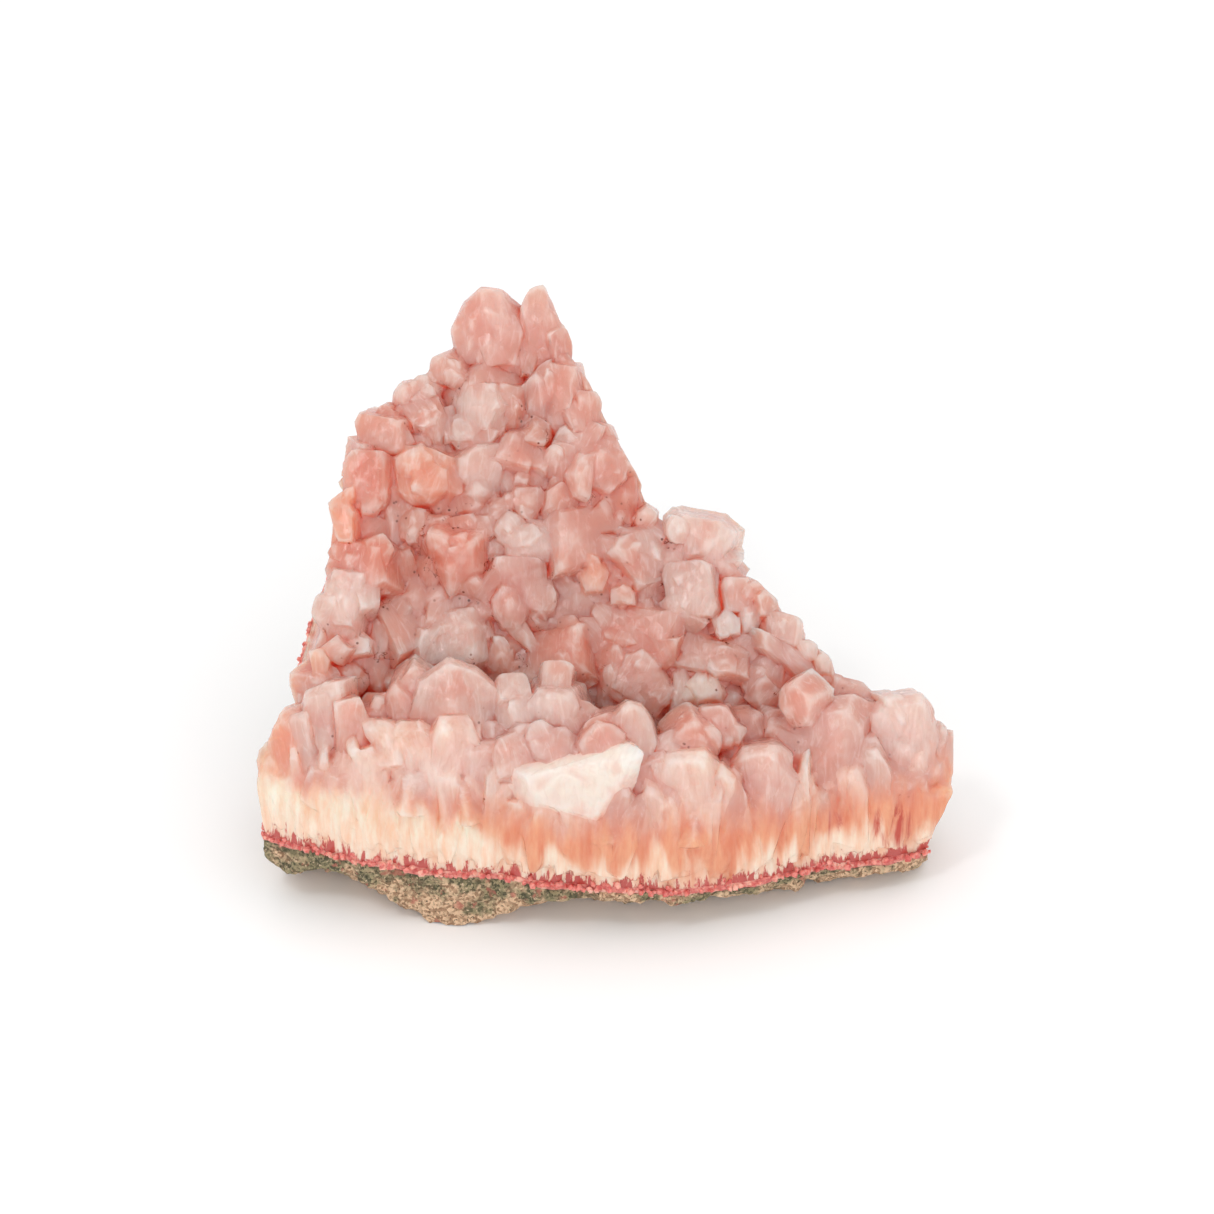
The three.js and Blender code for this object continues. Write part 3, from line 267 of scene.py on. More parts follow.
# Crystals of the wall, the valley and the peak: u, v, width, height, how far the face stands
# out of the ground, yaw, pitch, roll, outline, length, tone.
WALL = [
    # This one's salmon tone paints the shade it lies in.
    (-37, 35.8, 6.2, 4.6, 1.2, -12, 14, 0, "coffin", 7, "s"),
    # Its pearly white tone paints a sheen of reflected light.
    (-35.2, 39.8, 3.6, 3, 2, 8, 6, 12, "wedge", 6, "w"),
    (-40.2, 37.4, 2.8, 4, 1.6, -20, 4, 0, "blade", 6, "o"),
    (-36.3, 45.5, 6.6, 9, 3, -10, 12, 3, "coffin", 9, "g"),
    (-31, 41, 4.8, 5.8, 1.8, 14, 8, -6, "coffin", 7, "p"),
    (-22.5, 41, 10, 7.2, 2.6, -6, 14, 2, "block", 9, "g"),
    (-28, 37.5, 4.2, 4.2, 1.6, -10, 18, 0, "wedge", 6, "p"),
    (-14.8, 38, 4.6, 4.6, 2.2, 12, 10, 0, "egg", 6, "p"),
    (-8, 39.3, 8.2, 8.2, 2.2, -10, 10, 5, "block", 8, "s"),
    (4, 41.8, 15, 8.2, 1.8, 3, 16, -2, "block", 8, "s"),
    (15, 39.5, 11, 6.4, 1.8, 10, 12, -4, "arch", 8, "p"),
    (5.5, 35, 8.2, 8.2, 3.2, 8, 12, -22, "wedge", 9, "p"),
    (0.3, 35.5, 4.8, 6.2, 2.8, -14, 8, 0, "coffin", 8, "p"),
    (13.7, 34.5, 4.2, 4.2, 3, 0, 22, 10, "wedge", 7, "c"),
    (10.4, 34, 2.8, 6.2, 2.6, 10, 6, -4, "blade", 7, "p"),
    (21.5, 35.5, 6.4, 6.4, 2.6, 8, 14, 0, "egg", 8, "m"),
    (24.8, 38.4, 2.8, 8.4, 2.2, 16, 10, 46, "blade", 7, "m"),
    (27.6, 36.6, 3, 9.2, 2.6, 18, 8, 44, "blade", 7, "m"),
    (30.4, 34.2, 2.8, 8.4, 2.4, 22, 6, 42, "blade", 7, "m"),
    (26, 31.8, 6.4, 5.2, 2, 6, 12, 20, "wedge", 7, "m"),
    (19, 28.4, 9.6, 6, 1.2, 4, 20, 0, "coffin", 7, "m"),
    (22.8, 31.2, 6.4, 5.4, 1.8, -14, 22, 8, "block", 7, "m"),
    (17.6, 32.4, 5, 4.6, 2, 10, 16, -10, "coffin", 6, "m"),
    (26.8, 29.6, 6.2, 5, 1.2, 12, 26, 0, "wedge", 7, "m"),
    (20, 30.6, 4.6, 4.2, 1.6, -6, 12, 14, "egg", 6, "m"),
    (11, 29.4, 6, 4.8, 0.6, 0, 18, 0, "wedge", 6, "p"),
    (11.4, 47.6, 6.6, 8.2, 2.8, -8, 6, 2, "block", 8, "g"),
    (34.6, 33.4, 7.4, 3.4, 3.4, 24, 8, -28, "blade", 7, "m"),
    (30.8, 37.2, 2.4, 3, 2.4, 16, 4, 0, "wedge", 5, "g"),
    (28.3, 39.5, 3, 3.2, 2.2, 20, 8, 10, "blade", 5, "g"),
    (25, 42, 5, 4.4, 2.2, 14, 10, -8, "block", 7, "g"),
    (23, 45.8, 3.4, 4, 1.8, 26, 6, 6, "wedge", 6, "g"),
    (21.4, 47.4, 2.4, 2.8, 1.4, 20, 4, 0, "blade", 5, "g"),
    (18.5, 46.8, 4.4, 4.8, 2, 10, 6, -8, "block", 7, "p"),
    (17, 43.2, 3.5, 3.4, 2.6, -4, 14, 14, "wedge", 6, "g"),
    (20.4, 43.6, 3.6, 3.8, 2.2, 14, 10, 0, "coffin", 6, "p"),
    (13, 54, 9.2, 7.6, 2.2, 10, 6, -4, "fan", 8, "g"),
    (5.6, 53.4, 8.6, 9.4, 1.6, 6, 10, 4, "coffin", 8, "g"),
    (2.2, 47, 3.4, 3, 2.6, -12, 6, 0, "wedge", 6, "p"),
    (2.2, 60.4, 6.2, 8, -0.4, 24, 4, 0, "coffin", 6, "s"),
    (-0.6, 65.8, 7.6, 8.2, 2.4, 12, 10, -6, "egg", 8, "p"),
    (-6.3, 64.8, 5.4, 7.6, 2, -8, 6, 2, "coffin", 8, "p"),
    (-2.4, 72.6, 4.4, 6.2, 1.2, 22, 6, -6, "block", 7, "p"),
    (-6.4, 75.2, 6.6, 9.2, 1.8, 10, 4, -4, "coffin", 8, "p"),
    (-6.4, 81.2, 4.4, 8, 0.4, 26, 4, 6, "blade", 7, "m"),
    (-9, 85, 6.6, 10.4, 1.4, 6, 6, 0, "spire", 9, "p"),
    (-17.2, 85.2, 9.8, 10.6, 2.4, -8, 4, 0, "dome", 10, "p"),
    (-13.2, 82.4, 5.6, 9.6, 1.2, 4, 4, 0, "dome", 8, "p"),
    (-16, 78.2, 6.6, 4.2, 1, 4, 20, 0, "wedge", 6, "p"),
    (-23.9, 78.6, 4.8, 4.4, 0.6, -14, 6, 8, "egg", 6, "p"),
    (-26.3, 76.4, 3.8, 4, 0.8, -16, 8, 0, "egg", 6, "g"),
    (-28.7, 74.6, 3.8, 4, 0.8, -18, 8, 0, "egg", 6, "p"),
    (-18.8, 73.5, 7.2, 6.8, 2.4, -10, 8, 0, "coffin", 8, "g"),
    (-13.6, 73, 5, 6.4, 1.2, 30, 0, 0, "coffin", 7, "s"),
    (-25.4, 71.4, 7.2, 6.8, 2, -6, 10, 4, "coffin", 8, "p"),
    (-32.4, 69.4, 7, 5.2, 1.8, -16, 8, 2, "block", 7, "p"),
    (-33.9, 63.3, 6.4, 7.6, 2, -14, 6, 0, "block", 8, "s"),
    (-25.7, 63.7, 9.6, 8.8, 3, -5, 8, 0, "egg", 9, "o"),
    (-30.2, 66.5, 4.2, 4.2, 0.8, 6, 14, 0, "wedge", 6, "s"),
    (-16.7, 64.5, 8.2, 6.8, 2.2, 4, 8, 0, "egg", 8, "g"),
    (-19, 69.2, 7.4, 2.8, 1.6, -4, 12, 4, "blade", 6, "p"),
    (-10.6, 74, 5, 8, 0.8, -8, 4, 0, "arch", 7, "m"),
    (-27.8, 57.3, 5.2, 4.8, 1.8, -8, 8, 0, "coffin", 7, "p"),
    (-33, 56.2, 5, 4.4, 1, 4, 10, 0, "wedge", 6, "s"),
    (-35.4, 51.8, 7.8, 6.2, 2.6, -12, 8, 4, "block", 8, "s"),
    (-37.4, 57.6, 3.4, 7, 1.2, -24, 0, 6, "blade", 6, "o"),
    (-21.4, 51, 9.2, 8.8, 3.6, -8, 2, 0, "spear", 9, "s"),
    (-10.4, 55, 8.8, 7.2, 2.8, 5, 8, 0, "arch", 9, "g"),
    (-11.8, 48, 7.8, 8.2, 3.4, -6, 6, 0, "block", 9, "m"),
    (-17.8, 56.2, 4.2, 4.2, 1.8, -8, 10, 0, "egg", 6, "p"),
    (-15.4, 58.8, 4.2, 4, 1.6, 0, 14, 0, "egg", 6, "p"),
    (-10.8, 60, 5.2, 4.2, 1.8, 8, 12, 0, "coffin", 6, "p"),
    (-4, 55.3, 7.2, 8.8, 2.6, 10, 8, 4, "block", 8, "p"),
    (-1.8, 49.6, 5.2, 4.8, 1.4, 4, 4, 0, "coffin", 7, "o"),
    (-0.6, 57.8, 3.2, 4.2, 1.4, 14, 6, 0, "wedge", 6, "p"),
    (-14.6, 43.4, 2.6, 6, 2.2, -10, 6, 40, "blade", 6, "p"),
    (-12.2, 42, 2.6, 6, 2, -6, 8, 42, "blade", 6, "p"),
    (-17.4, 41.6, 3.6, 5.2, 1.8, 8, 8, 0, "coffin", 6, "m"),
    (-6.2, 60.6, 5, 4, 1.2, -4, 10, 0, "wedge", 6, "s"),
    (-28.6, 50.2, 4.6, 5.4, 0.6, 16, 6, 0, "coffin", 6, "s"),
]

DOMED = ("egg", "arch", "dome", "fan", "coffin")  # outlines whose crystals have rounded faces

# Small crystals between the large ones: tries, seed, sizes, spacing, depth, standing out, and
# how much of the large ones' room they keep clear of.
FILLS = [
    (500, 20417, 5.8, 9.0, 4.6, 6.0, 1.4, 0.75),
    (1600, 5501, 4.0, 7.2, 3.2, 6.0, 1.8, 0.62),
    (500, 88003, 2.6, 4.4, 2.4, 5.0, 1.0, 0.8),
]

# ---- Slope helpers, for single numbers and for arrays ----
def along(table, x):
    """Value of a table of pairs at x, straight between its entries."""
    return np.interp(x, [a for a, _ in table], [b for _, b in table])


def blend(x, low, high):
    """Smooth step from 0 at low to 1 at high."""
    t = np.clip((np.asarray(x, float) - low) / (high - low), 0, 1)
    return t * t * (3 - 2 * t)


def ripple(a, b):
    """A smooth, repeatable unevenness between -1 and 1."""
    one = np.sin(0.83 * a + 0.41 * b)
    two = np.sin(0.37 * a - 0.79 * b + 1.7)
    three = np.sin(1.31 * a + 1.07 * b + 4.1)
    return (one + two + three) / 3


def stream(seed):
    """A repeatable stream of numbers from 0 to 1."""
    state = seed
    while True:
        state = (state * 1664525 + 1013904223) % 4294967296
        yield state / 4294967296


def to_frame(p):
    """Slope coordinates in mm to the row frame in mm."""
    u, v, w = p[..., 0], p[..., 1], p[..., 2]
    return np.stack([u, v * SIN - w * COS - MIDDLE_BACK, v * COS + w * SIN], -1)


def on_slope(d):
    """A direction in the row frame to one on the slope."""
    x, y, z = d[..., 0], d[..., 1], d[..., 2]
    return np.stack([x, y * SIN + z * COS, z * SIN - y * COS], -1)


def to_slope(p):
    """Row frame in mm to slope coordinates."""
    return on_slope(p + np.array([0, MIDDLE_BACK, 0]))


def lift(u):
    return FLOOR_HEIGHT - FLOOR_FALL * u


def front_v(u):
    return along(FRONT_EDGE, u) * SIN + lift(u) * COS


def wall_w(u, v):
    return WALL_OUT - WALL_FALL * (v - 40) + ARM_CURL * blend(-30 - u, 0, 16)


def underside_w(u, v):
    """The crust's underside: the floor, and the wall behind it, with a soft bend between."""
    floor = (lift(u) - v * COS) / SIN
    wall = wall_w(u, v)
    near = np.maximum(BEND - np.abs(floor - wall), 0) / BEND
    return np.maximum(floor, wall) + near * near * BEND / 4 + 0.4 * ripple(u / 2.2, v / 2.2)


def unit(v):
    return v / np.linalg.norm(v, axis=-1, keepdims=True)


def outward(u, v):
    """The direction out of the underside, on its upper side."""
    du = underside_w(u + 0.5, v) - underside_w(u - 0.5, v)
    dv = underside_w(u, v + 0.5) - underside_w(u, v - 0.5)
    return unit(np.stack([-du, -dv, np.ones_like(du)], -1))


def growth(u, v):
    """The direction the crust grows in."""
    angle = np.radians(along(GROWTH, v))
    arm = 0.35 * blend(-34 - u, 0, 8) * blend(v, 18, 28) * (1 - blend(v, 62, 72))
    right = 0.3 * blend(u - along(RIGHT_END, v), -10, 0)
    return unit(np.stack([arm + right + 0.1 * u / HALF_WIDTH, np.sin(angle), np.cos(angle)], -1))


def lattice(points, seed):
    """Repeatable random numbers from 0 to 1 at whole-numbered points."""
    i = points.astype(np.int64)
    h = i[..., 0] * 374761393 + i[..., 1] * 668265263 + i[..., 2] * 1274126177 + seed * 144665
    h = (h ^ (h >> 13)) * 1103515245 & 0x7FFFFFFF
    h = (h ^ (h >> 11)) * 12345679 & 0x7FFFFFFF
    return (h >> 7) / float(0x7FFFFFFF >> 7)


def grain(points, size, seed=0):
    """Smooth noise between -1 and 1, with lumps of the given size."""
    p = points / size
    low = np.floor(p)
    f = p - low
    f = f * f * (3 - 2 * f)
    total = np.zeros(p.shape[:-1])
    for dx in (0, 1):
        for dy in (0, 1):
            for dz in (0, 1):
                weight = 1
                for axis, d in enumerate((dx, dy, dz)):
                    weight = weight * (f[..., axis] if d else 1 - f[..., axis])
                total = total + weight * lattice(low + np.array([dx, dy, dz]), seed)
    return 2 * total - 1


# ---- Closed meshes: points in slope mm, faces as lists of corners ----
def mesh_object(name, points, faces, crystal_id):
    mesh = bpy.data.meshes.new(name)
    mesh.from_pydata((to_frame(np.asarray(points)) * MM).tolist(), [], faces)
    mark = mesh.attributes.new("cid", "FLOAT", "FACE")
    mark.data.foreach_set("value", [float(crystal_id)] * len(mesh.polygons))
    return bpy.data.objects.new(name, mesh)


def turned(yaw, pitch, roll):
    """A crystal's own axes: across, up its face, and out of it."""
    yaw, pitch, roll = math.radians(yaw), math.radians(pitch), math.radians(roll)
    out = np.array([math.sin(yaw) * math.cos(pitch), math.sin(pitch), math.cos(yaw) * math.cos(pitch)])
    across = unit(np.cross([0, 1, 0], out))
    up = np.cross(out, across)
    c, s = math.cos(roll), math.sin(roll)
    return across * c + up * s, up * c - across * s, out


def shift_within(points):
    """The shift that brings a crystal's face within the cluster's reach."""
    u, v = points[:, 0], points[:, 1]
    height, left_end, right_end = zip(*REACH)
    over_left = max((np.interp(v, height, left_end) - u).max(), 0)
    over_right = max((u - np.interp(v, height, right_end)).max(), 0)
    return np.array([over_left - over_right, -max(v.max() - REACH[-1][0], 0), 0])


def crystal_faces(count, rings):
    """The faces over rings of count points each, with the apex last: crown, root and sides."""
    tip = rings * count
    faces = [[k, (k + 1) % count, tip] for k in range(count)]
    faces.append(list(range(tip - 1, tip - 1 - count, -1)))
    for start in range(0, tip - count, count):
        for k in range(count):
            a, b = start + k, start + (k + 1) % count
            faces.append([a, a + count, b + count, b])
    return faces


class Crystals:
    """The crystals to be grown together, with each one's axes and tone."""

    def __init__(self):
        self.objects = []
        self.frames = [(np.zeros(3), *np.eye(3))]
        self.tones = ["p"]
        self.chance = stream(6007)

    def some(self, low, high):
        return low + (high - low) * next(self.chance)

    def crown(self, outline, size, wild):
        """A crystal's outline, its rings of points from the face to the shoulders, and its apex:
        x and y in a square from -1 to 1, depth in mm. The bevels are narrow or broad."""
        shape = [(x * (1 + wild * self.some(-0.3, 0.08)), y * (1 + wild * self.some(-0.3, 0.08)))
                 for x, y in OUTLINES[outline]]
        bevels = [self.some(0.03, 0.1) if next(self.chance) > 0.45 else self.some(0.15, 0.45)
                  for _ in shape]
        corners = [(x, y, b) for (x, y), b in zip(shape, bevels)]
        rise = size * (0.02 + 0.12 * wild * next(self.chance))
        rings = [[(x * (1 - b), y * (1 - b), -0.03 * size * next(self.chance)) for x, y, b in corners]]
        domed = outline in DOMED
        if domed:
            right, up = self.some(-0.12, 0.12), self.some(-0.12, 0.12)
            rings = [
                [(x * 0.5 + right, y * 0.5 + up, -0.02 * size) for x, y in shape],
                [(x * (0.95 - b * 0.4), y * (0.95 - b * 0.4), -size * (0.07 + 0.2 * b))
                 for x, y, b in corners],
            ]
        rings.append([(x, y, -size * (b * self.some(0.4, 0.9) + 0.2 * domed)) for x, y, b in corners])
        return shape, rings, (self.some(-0.4, 0.4), self.some(-0.4, 0.4), rise)

    def add(self, centre, width, height, yaw, pitch, roll, outline, length, tone,
            wild=1.0, flare=0.0, loose=False):
        """One crystal over the given outline: a low, off-centre crown of facets, and sides that
        spread by flare towards its root, or else narrow. Wild is how far it departs from the
        outline. A loose one is moved to stay within the cluster's reach."""
        across, up, out = turned(yaw, pitch, roll)
        shape, rings, apex = self.crown(outline, min(width, height), wild)
        spread = 1 + flare if flare else 0.85
        rings.append([(spread * x, spread * y, -length) for x, y in shape])
        points = np.array([centre + across * (x * width / 2) + up * (y * height / 2) + out * depth
                           for x, y, depth in [*sum(rings, []), apex]])
        if loose:
            shift = shift_within(points[:-1 - len(shape)])
            if np.abs(shift).max() > LARGEST_SHIFT:
                return
            points, centre = points + shift, centre + shift
        number = len(self.frames)
        self.frames.append((np.array(centre), across, up, out))
        self.tones.append(tone)
        faces = crystal_faces(len(shape), len(rings))
        self.objects.append(mesh_object(f"crystal_{number}", points, faces, number))

    def add_cluster(self, centre, width, height, yaw, pitch, roll, outline, length, tone,
                    terraces=2, neighbours=4):
        """A large crystal with the smaller ones that step its face and crowd its sides."""
        if outline == "slab":
            self.add(centre, width, height, yaw, pitch, roll, outline, length, tone, 0.1)
            return
        plain = outline in ("dome", "spire")
        if not plain:
            yaw, pitch, roll = yaw + self.some(-16, 16), pitch + self.some(-12, 12), roll + self.some(-9, 9)
        self.add(centre, 0.96 * width, 0.96 * height, yaw, pitch, roll, outline, length, tone,
                 0.35 if plain else 0.8, 0.0 if plain else FLARE)
        host = (centre, width, height, yaw, pitch, roll, tone)
        size = min(width, height)
        if plain:
            self.add_ribs(host, size)
        elif size >= SOLITARY:
            self.add_terraces(host, size, terraces if size > 6 else 1)
            self.add_neighbours(host, size, length, neighbours if size > 5 else 2)

    def add_ribs(self, host, size):
        """Three upright crystals that break up a plain one's face."""
        centre, width, height, yaw, pitch, roll, tone = host
        across, up, out = turned(yaw, pitch, roll)
        for side in (-1, 0, 1):
            shift = across * width * 0.2 * side - up * height * self.some(0.05, 0.2)
            self.add(centre + shift - out * 0.03 * size, width * self.some(0.45, 0.65), height * 0.75,
                     yaw + 14 * side, pitch + self.some(-6, 8), roll + self.some(-12, 12), "coffin",
                     size * 0.6, tone, loose=True)

    def add_terraces(self, host, size, count):
        """Crystals that step a large one's face."""
        centre, width, height, yaw, pitch, roll, tone = host
        across, up, out = turned(yaw, pitch, roll)
        for k in range(count):
            shift = across * width * self.some(-0.25, 0.25) + up * height * self.some(-0.3, 0.25)
            self.add(centre + shift + out * self.some(-0.03, 0.05) * size, width * self.some(0.4, 0.75),
                     height * self.some(0.4, 0.8), yaw + self.some(-18, 18), pitch + self.some(-18, 18),
                     roll + self.some(-25, 25), ("coffin", "egg", "wedge")[k % 3], size * 0.5, tone,
                     loose=True)

    def add_neighbours(self, host, size, length, count):
        """Crystals that crowd a large one's sides and lean away from it."""
        centre, width, height, yaw, pitch, roll, tone = host
        across, up, out = turned(yaw, pitch, roll)
        start = self.some(0, 6)
        for k in range(count):
            angle = start + 2 * math.pi * (k + self.some(0, 0.8)) / count
            shift = across * width * 0.42 * math.cos(angle) + up * height * 0.42 * math.sin(angle)
            sink = self.some(0.06, 0.3) * size
            lean = 28 * math.cos(angle), 24 * math.sin(angle)
            self.add(centre + shift - out * sink, width * self.some(0.4, 0.75), height * self.some(0.4, 0.8),
                     yaw + lean[0] + self.some(-12, 12), pitch + lean[1] + self.some(-12, 12),
                     roll + self.some(-35, 35), ("block", "coffin", "wedge", "blade")[k % 4],
                     length * 0.8, tone, 1.0, FLARE, loose=True)


def lip_point(u, v, step):
    return np.array([u, v, (v * SIN - along(FRONT_EDGE, u) - step) / COS])


def wall_point(u, v, out):
    return np.array([u, v, wall_w(u, v) + along(GROUND, v) + out])


def clear_of_ground(point, ground):
    """The point, or the nearest one over it that stands out of most of the ground around it."""
    near = np.hypot(ground[:, 0] - point[0], ground[:, 1] - point[1]) < 2
    if not near.any():
        return point
    return np.array([point[0], point[1], max(point[2], np.quantile(ground[near, 2], 0.75) + LEAST_RISE)])


def upright(u, tip, step, foot_step):
    """The top and foot of a crystal that stands in the broken front, and its pitch."""
    foot = front_v(u) + FRONT_FOOT
    top, low = lip_point(u, tip, step), lip_point(u, foot, foot_step)
    return top, low, math.degrees(math.atan2(low[2] - top[2], tip - foot))


def grow_front(crystals):
    """The listed crystals of the broken front, and others a little behind, in the gaps."""
    some = crystals.some
    for u, tip, width, step, yaw, roll, outline, length, tone in FRONT:
        top, low, pitch = upright(u, tip, step, -0.4)
        tall = np.linalg.norm(top - low)
        middle = (top + low) / 2
        crystals.add(middle, width * 1.2, tall, yaw, pitch, roll, outline, length, tone, 0.6)
        # Narrower blades beside it, as a sheaf, and a short crystal near its tip.
        for side in (-1, 1):
            shift = np.array([side * width * some(0.2, 0.4), -tall * some(0.02, 0.1), some(-0.5, 0.1)])
            crystals.add(middle + shift, width * some(0.7, 1.0), tall * some(0.8, 0.97),
                         yaw + side * some(6, 20), pitch + some(0, 8), roll - side * some(0, 7), "fan",
                         length * 0.8, tone, 0.8)
        fall = some(0.04, 0.5)
        place = top + (low - top) * fall + np.array([width * some(-0.5, 0.5), 0, some(-0.9, -0.1)])
        size = width * some(0.35, 0.75) * (1 - 0.4 * fall)
        crystals.add(place, size, size * some(0.8, 1.5), yaw + some(-25, 25), pitch + some(-8, 30),
                     some(-25, 25), "coffin", 6, tone, 1.0, FLARE / 2, loose=True)
    for left, right in zip(FRONT, FRONT[1:]):
        tip = min(left[1], right[1]) + some(-1.5, 1.0)
        step = (left[3] + right[3]) / 2 + some(0.0, 0.4)
        top, low, pitch = upright((left[0] + right[0]) / 2, tip, step, -0.2)
        crystals.add((top + low) / 2, 1.3 * (right[0] - left[0]) + 2, np.linalg.norm(top - low),
                     some(-10, 10), pitch, some(-3, 3), "fan", 8, left[8], 0.8)


def grow_large(crystals):
    """The listed crystals of the lip and the wall, each with its smaller ones."""
    i, j = fine_grid()
    ground = crust_top(surface_point(i, j), i, j).reshape(-1, 3)
    for u, v, width, height, step, yaw, pitch, roll, outline, length, tone in LIP:
        tall = SPREAD * height / math.cos(math.radians(pitch))
        crystals.add_cluster(lip_point(u, v, step), SPREAD * width, tall, yaw, pitch, roll, outline,
                             length, tone, 0, 2)
    for u, v, width, height, out, yaw, pitch, roll, outline, length, tone in WALL:
        tall = WALL_SPREAD * height / math.cos(math.radians(pitch))
        place = clear_of_ground(wall_point(u, v, out), ground)
        crystals.add_cluster(place, WALL_SPREAD * width, tall, yaw, pitch, roll, outline, length, tone)


def large_places():
    """The places of the listed crystals, and how far each one reaches."""
    places = [lip_point(u, tip - width / 2, step) for u, tip, width, step, *_ in FRONT]
    sizes = [2 * width for _, _, width, *_ in FRONT]
    for table, point in ((LIP, lip_point), (WALL, wall_point)):
        places += [point(e[0], e[1], e[4]) for e in table]
        sizes += [e[2] + e[3] for e in table]
    return np.array(places), np.array(sizes) * 0.2


def fill(crystals):
    """Small crystals wherever the listed ones leave room."""
    centres, reaches = large_places()
    for tries, seed, small, large, apart, depth, rise, room in FILLS:
        chance = stream(seed)
        placed = []
        for k in range(tries):
            i = 0.6 + next(chance) * (COLUMNS - 1.2)
            j = 0.3 + next(chance) * (len(ROWS) - 1.6)
            size = small + (large - small) * next(chance)
            turn = [next(chance) for _ in range(4)]
            root = surface_point(np.asarray(i), np.asarray(j))
            if root[1] > FILLED_TO:
                continue
            way = growth(root[0], root[1])
            point = root + way * (along(CRUST_DEPTH, root[1]) + rise * turn[0])
            clear = np.all(np.linalg.norm(centres - point, axis=1) > room * (reaches + size * 0.45))
            if not clear or any(np.linalg.norm(q - point) < apart for q in placed):
                continue
            placed.append(point)
            yaw = math.degrees(math.atan2(way[0], way[2])) + 60 * (turn[1] - 0.5)
            pitch = math.degrees(math.asin(way[1])) * 0.8 + 50 * (turn[2] - 0.5)
            crystals.add(point, size, size * (0.8 + 0.5 * turn[1]), yaw, pitch, 80 * (turn[3] - 0.5),
                         ("coffin", "wedge", "blade", "block")[k % 4], depth, "psmgp"[k % 5], 1.0,
                         FLARE, loose=True)


def grow_band(crystals):
    """Columns of the fibrous band, nearly flush in the broken front and leaning back with it."""
    chance = stream(771)
    u, end = -46.45, 45
    while u < end:
        width = 1.0 + 2.6 * next(chance) ** 2
        height = 6 + 9 * next(chance)
        v = front_v(u) + 0.5 + height / 2
        place = lip_point(u, v, 0.45 * next(chance) - 0.55 + 0.06 * height)
        crystals.add(place, width * 1.8, height, 24 * (next(chance) - 0.5), -25 + 4 * (next(chance) - 0.5),
                     8 * (next(chance) - 0.5), "fan" if next(chance) > 0.5 else "shaft", 3.4, "c", 0.8, 0.2)
        u += width * 0.6


# ---- The sheets ----
def surface_point(i, j):
    """Points of the underside at columns and rows of the frame's grid, which may be fractions."""
    mean, last = ROWS[0], ROWS[-1]
    row = np.interp(j, range(len(ROWS)), ROWS)
    follow = (1 - (row - mean) / (last - mean)) ** 3
    left = along(LEFT_END, row + (front_v(-47.3) - mean) * follow)
    right = along(RIGHT_END, row + (front_v(45.3) - mean) * follow)
    u = left + (right - left) * i / COLUMNS
    v = row + (front_v(u) - mean) * follow
    return np.stack([u, v, underside_w(u, v)], -1)


def fine_grid(columns=FINE_COLUMNS, steps=ROW_STEPS):
    """Columns and rows of the sheets, in the frame's own counting, finer than the frame's."""
    i = np.linspace(0, COLUMNS, columns + 1)
    j = np.linspace(0, len(ROWS) - 1, (len(ROWS) - 1) * steps + 1)
    return np.meshgrid(i, j)


def closed_slab(lower, upper, name):
    """The closed body between a lower and an upper sheet."""
    rows, cols = lower.shape[:2]
    points = [*lower.reshape(-1, 3), *upper.reshape(-1, 3)]
    half = rows * cols
    faces = []
    for j in range(rows - 1):
        for a in range(j * cols, j * cols + cols - 1):
            faces.append([half + a, half + a + 1, half + a + cols + 1, half + a + cols])
            faces.append([a, a + cols, a + cols + 1, a + 1])
    rim = list(range(cols))
    rim += [j * cols + cols - 1 for j in range(1, rows)]
    rim += [(rows - 1) * cols + i for i in range(cols - 2, -1, -1)]
    rim += [j * cols for j in range(rows - 2, 0, -1)]
    for a, b in zip(rim, rim[1:] + rim[:1]):
        faces.append([a, b, half + b, half + a])
    return mesh_object(name, points, faces, 0)


def seam_depth(i, j):
    return SEAM_DEPTH * (1 + 0.9 * ripple(i * 3.7, j * 2.9))


def crust_top(p, i, j):
    """The crust between the crystals: thinner towards its edges, and uneven."""
    edge = np.minimum(np.minimum(np.minimum(i, COLUMNS - i), (len(ROWS) - 1 - j) * 1.5) / 3, 1)
    depth = along(CRUST_DEPTH, p[..., 1]) * (0.78 + 0.22 * edge)
    raised = 0.3 * blend(p[..., 1], 12, 20) * edge
    depth = depth + raised + 0.7 * ripple(i * 2.7, j * 3.3) + 1.1 * grain(p, 3.0, 3)
    return p + growth(p[..., 0], p[..., 1]) * depth[..., None]


def below_crust():
    """The space under the crust, a little uneven along the front, that is cut from the crystals."""
    sheet = surface_point(*fine_grid(steps=2))
    sheet[..., 1] -= 0.9 * np.maximum(grain(sheet, 2.6, 31), -0.2) * blend(-sheet[..., 1], -13, -10)
    wide = widened(sheet, 9)
    below = wide - outward(wide[..., 0], wide[..., 1]) * 24
    return closed_slab(below, wide, "below")


def rock_bottom(p, i, j, normals):
    """Under the floor the rock goes down to the resting plane, but is undercut along the front.
    Behind the wall it thins upwards."""
    place = to_frame(p)
    back = place[..., 1] + MIDDLE_BACK
    undercut = (along(LOWER_EDGE, p[..., 0]) - back * SIN) / COS
    uneven = 0.5 + 1.7 * ripple(i * 1.7, j * 2.2 + 2)
    floor = place[..., 2] - np.maximum(undercut, np.minimum(uneven, 2) - 0.4)
    wall = along(ROCK_DEPTH, p[..., 1]) * (1 + 0.13 * ripple(i * 2.9, j * 3.6))
    share = blend(p[..., 1], 13.5, 19)
    depth = np.maximum(floor * (1 - share) + wall * share, LEAST_ROCK + 2 * GAP + seam_depth(i, j))
    low = p - normals * depth[..., None]
    low[..., 0] -= ROCK_TAPER * depth * p[..., 0] / HALF_WIDTH * blend(p[..., 1], 12, 17)
    return low


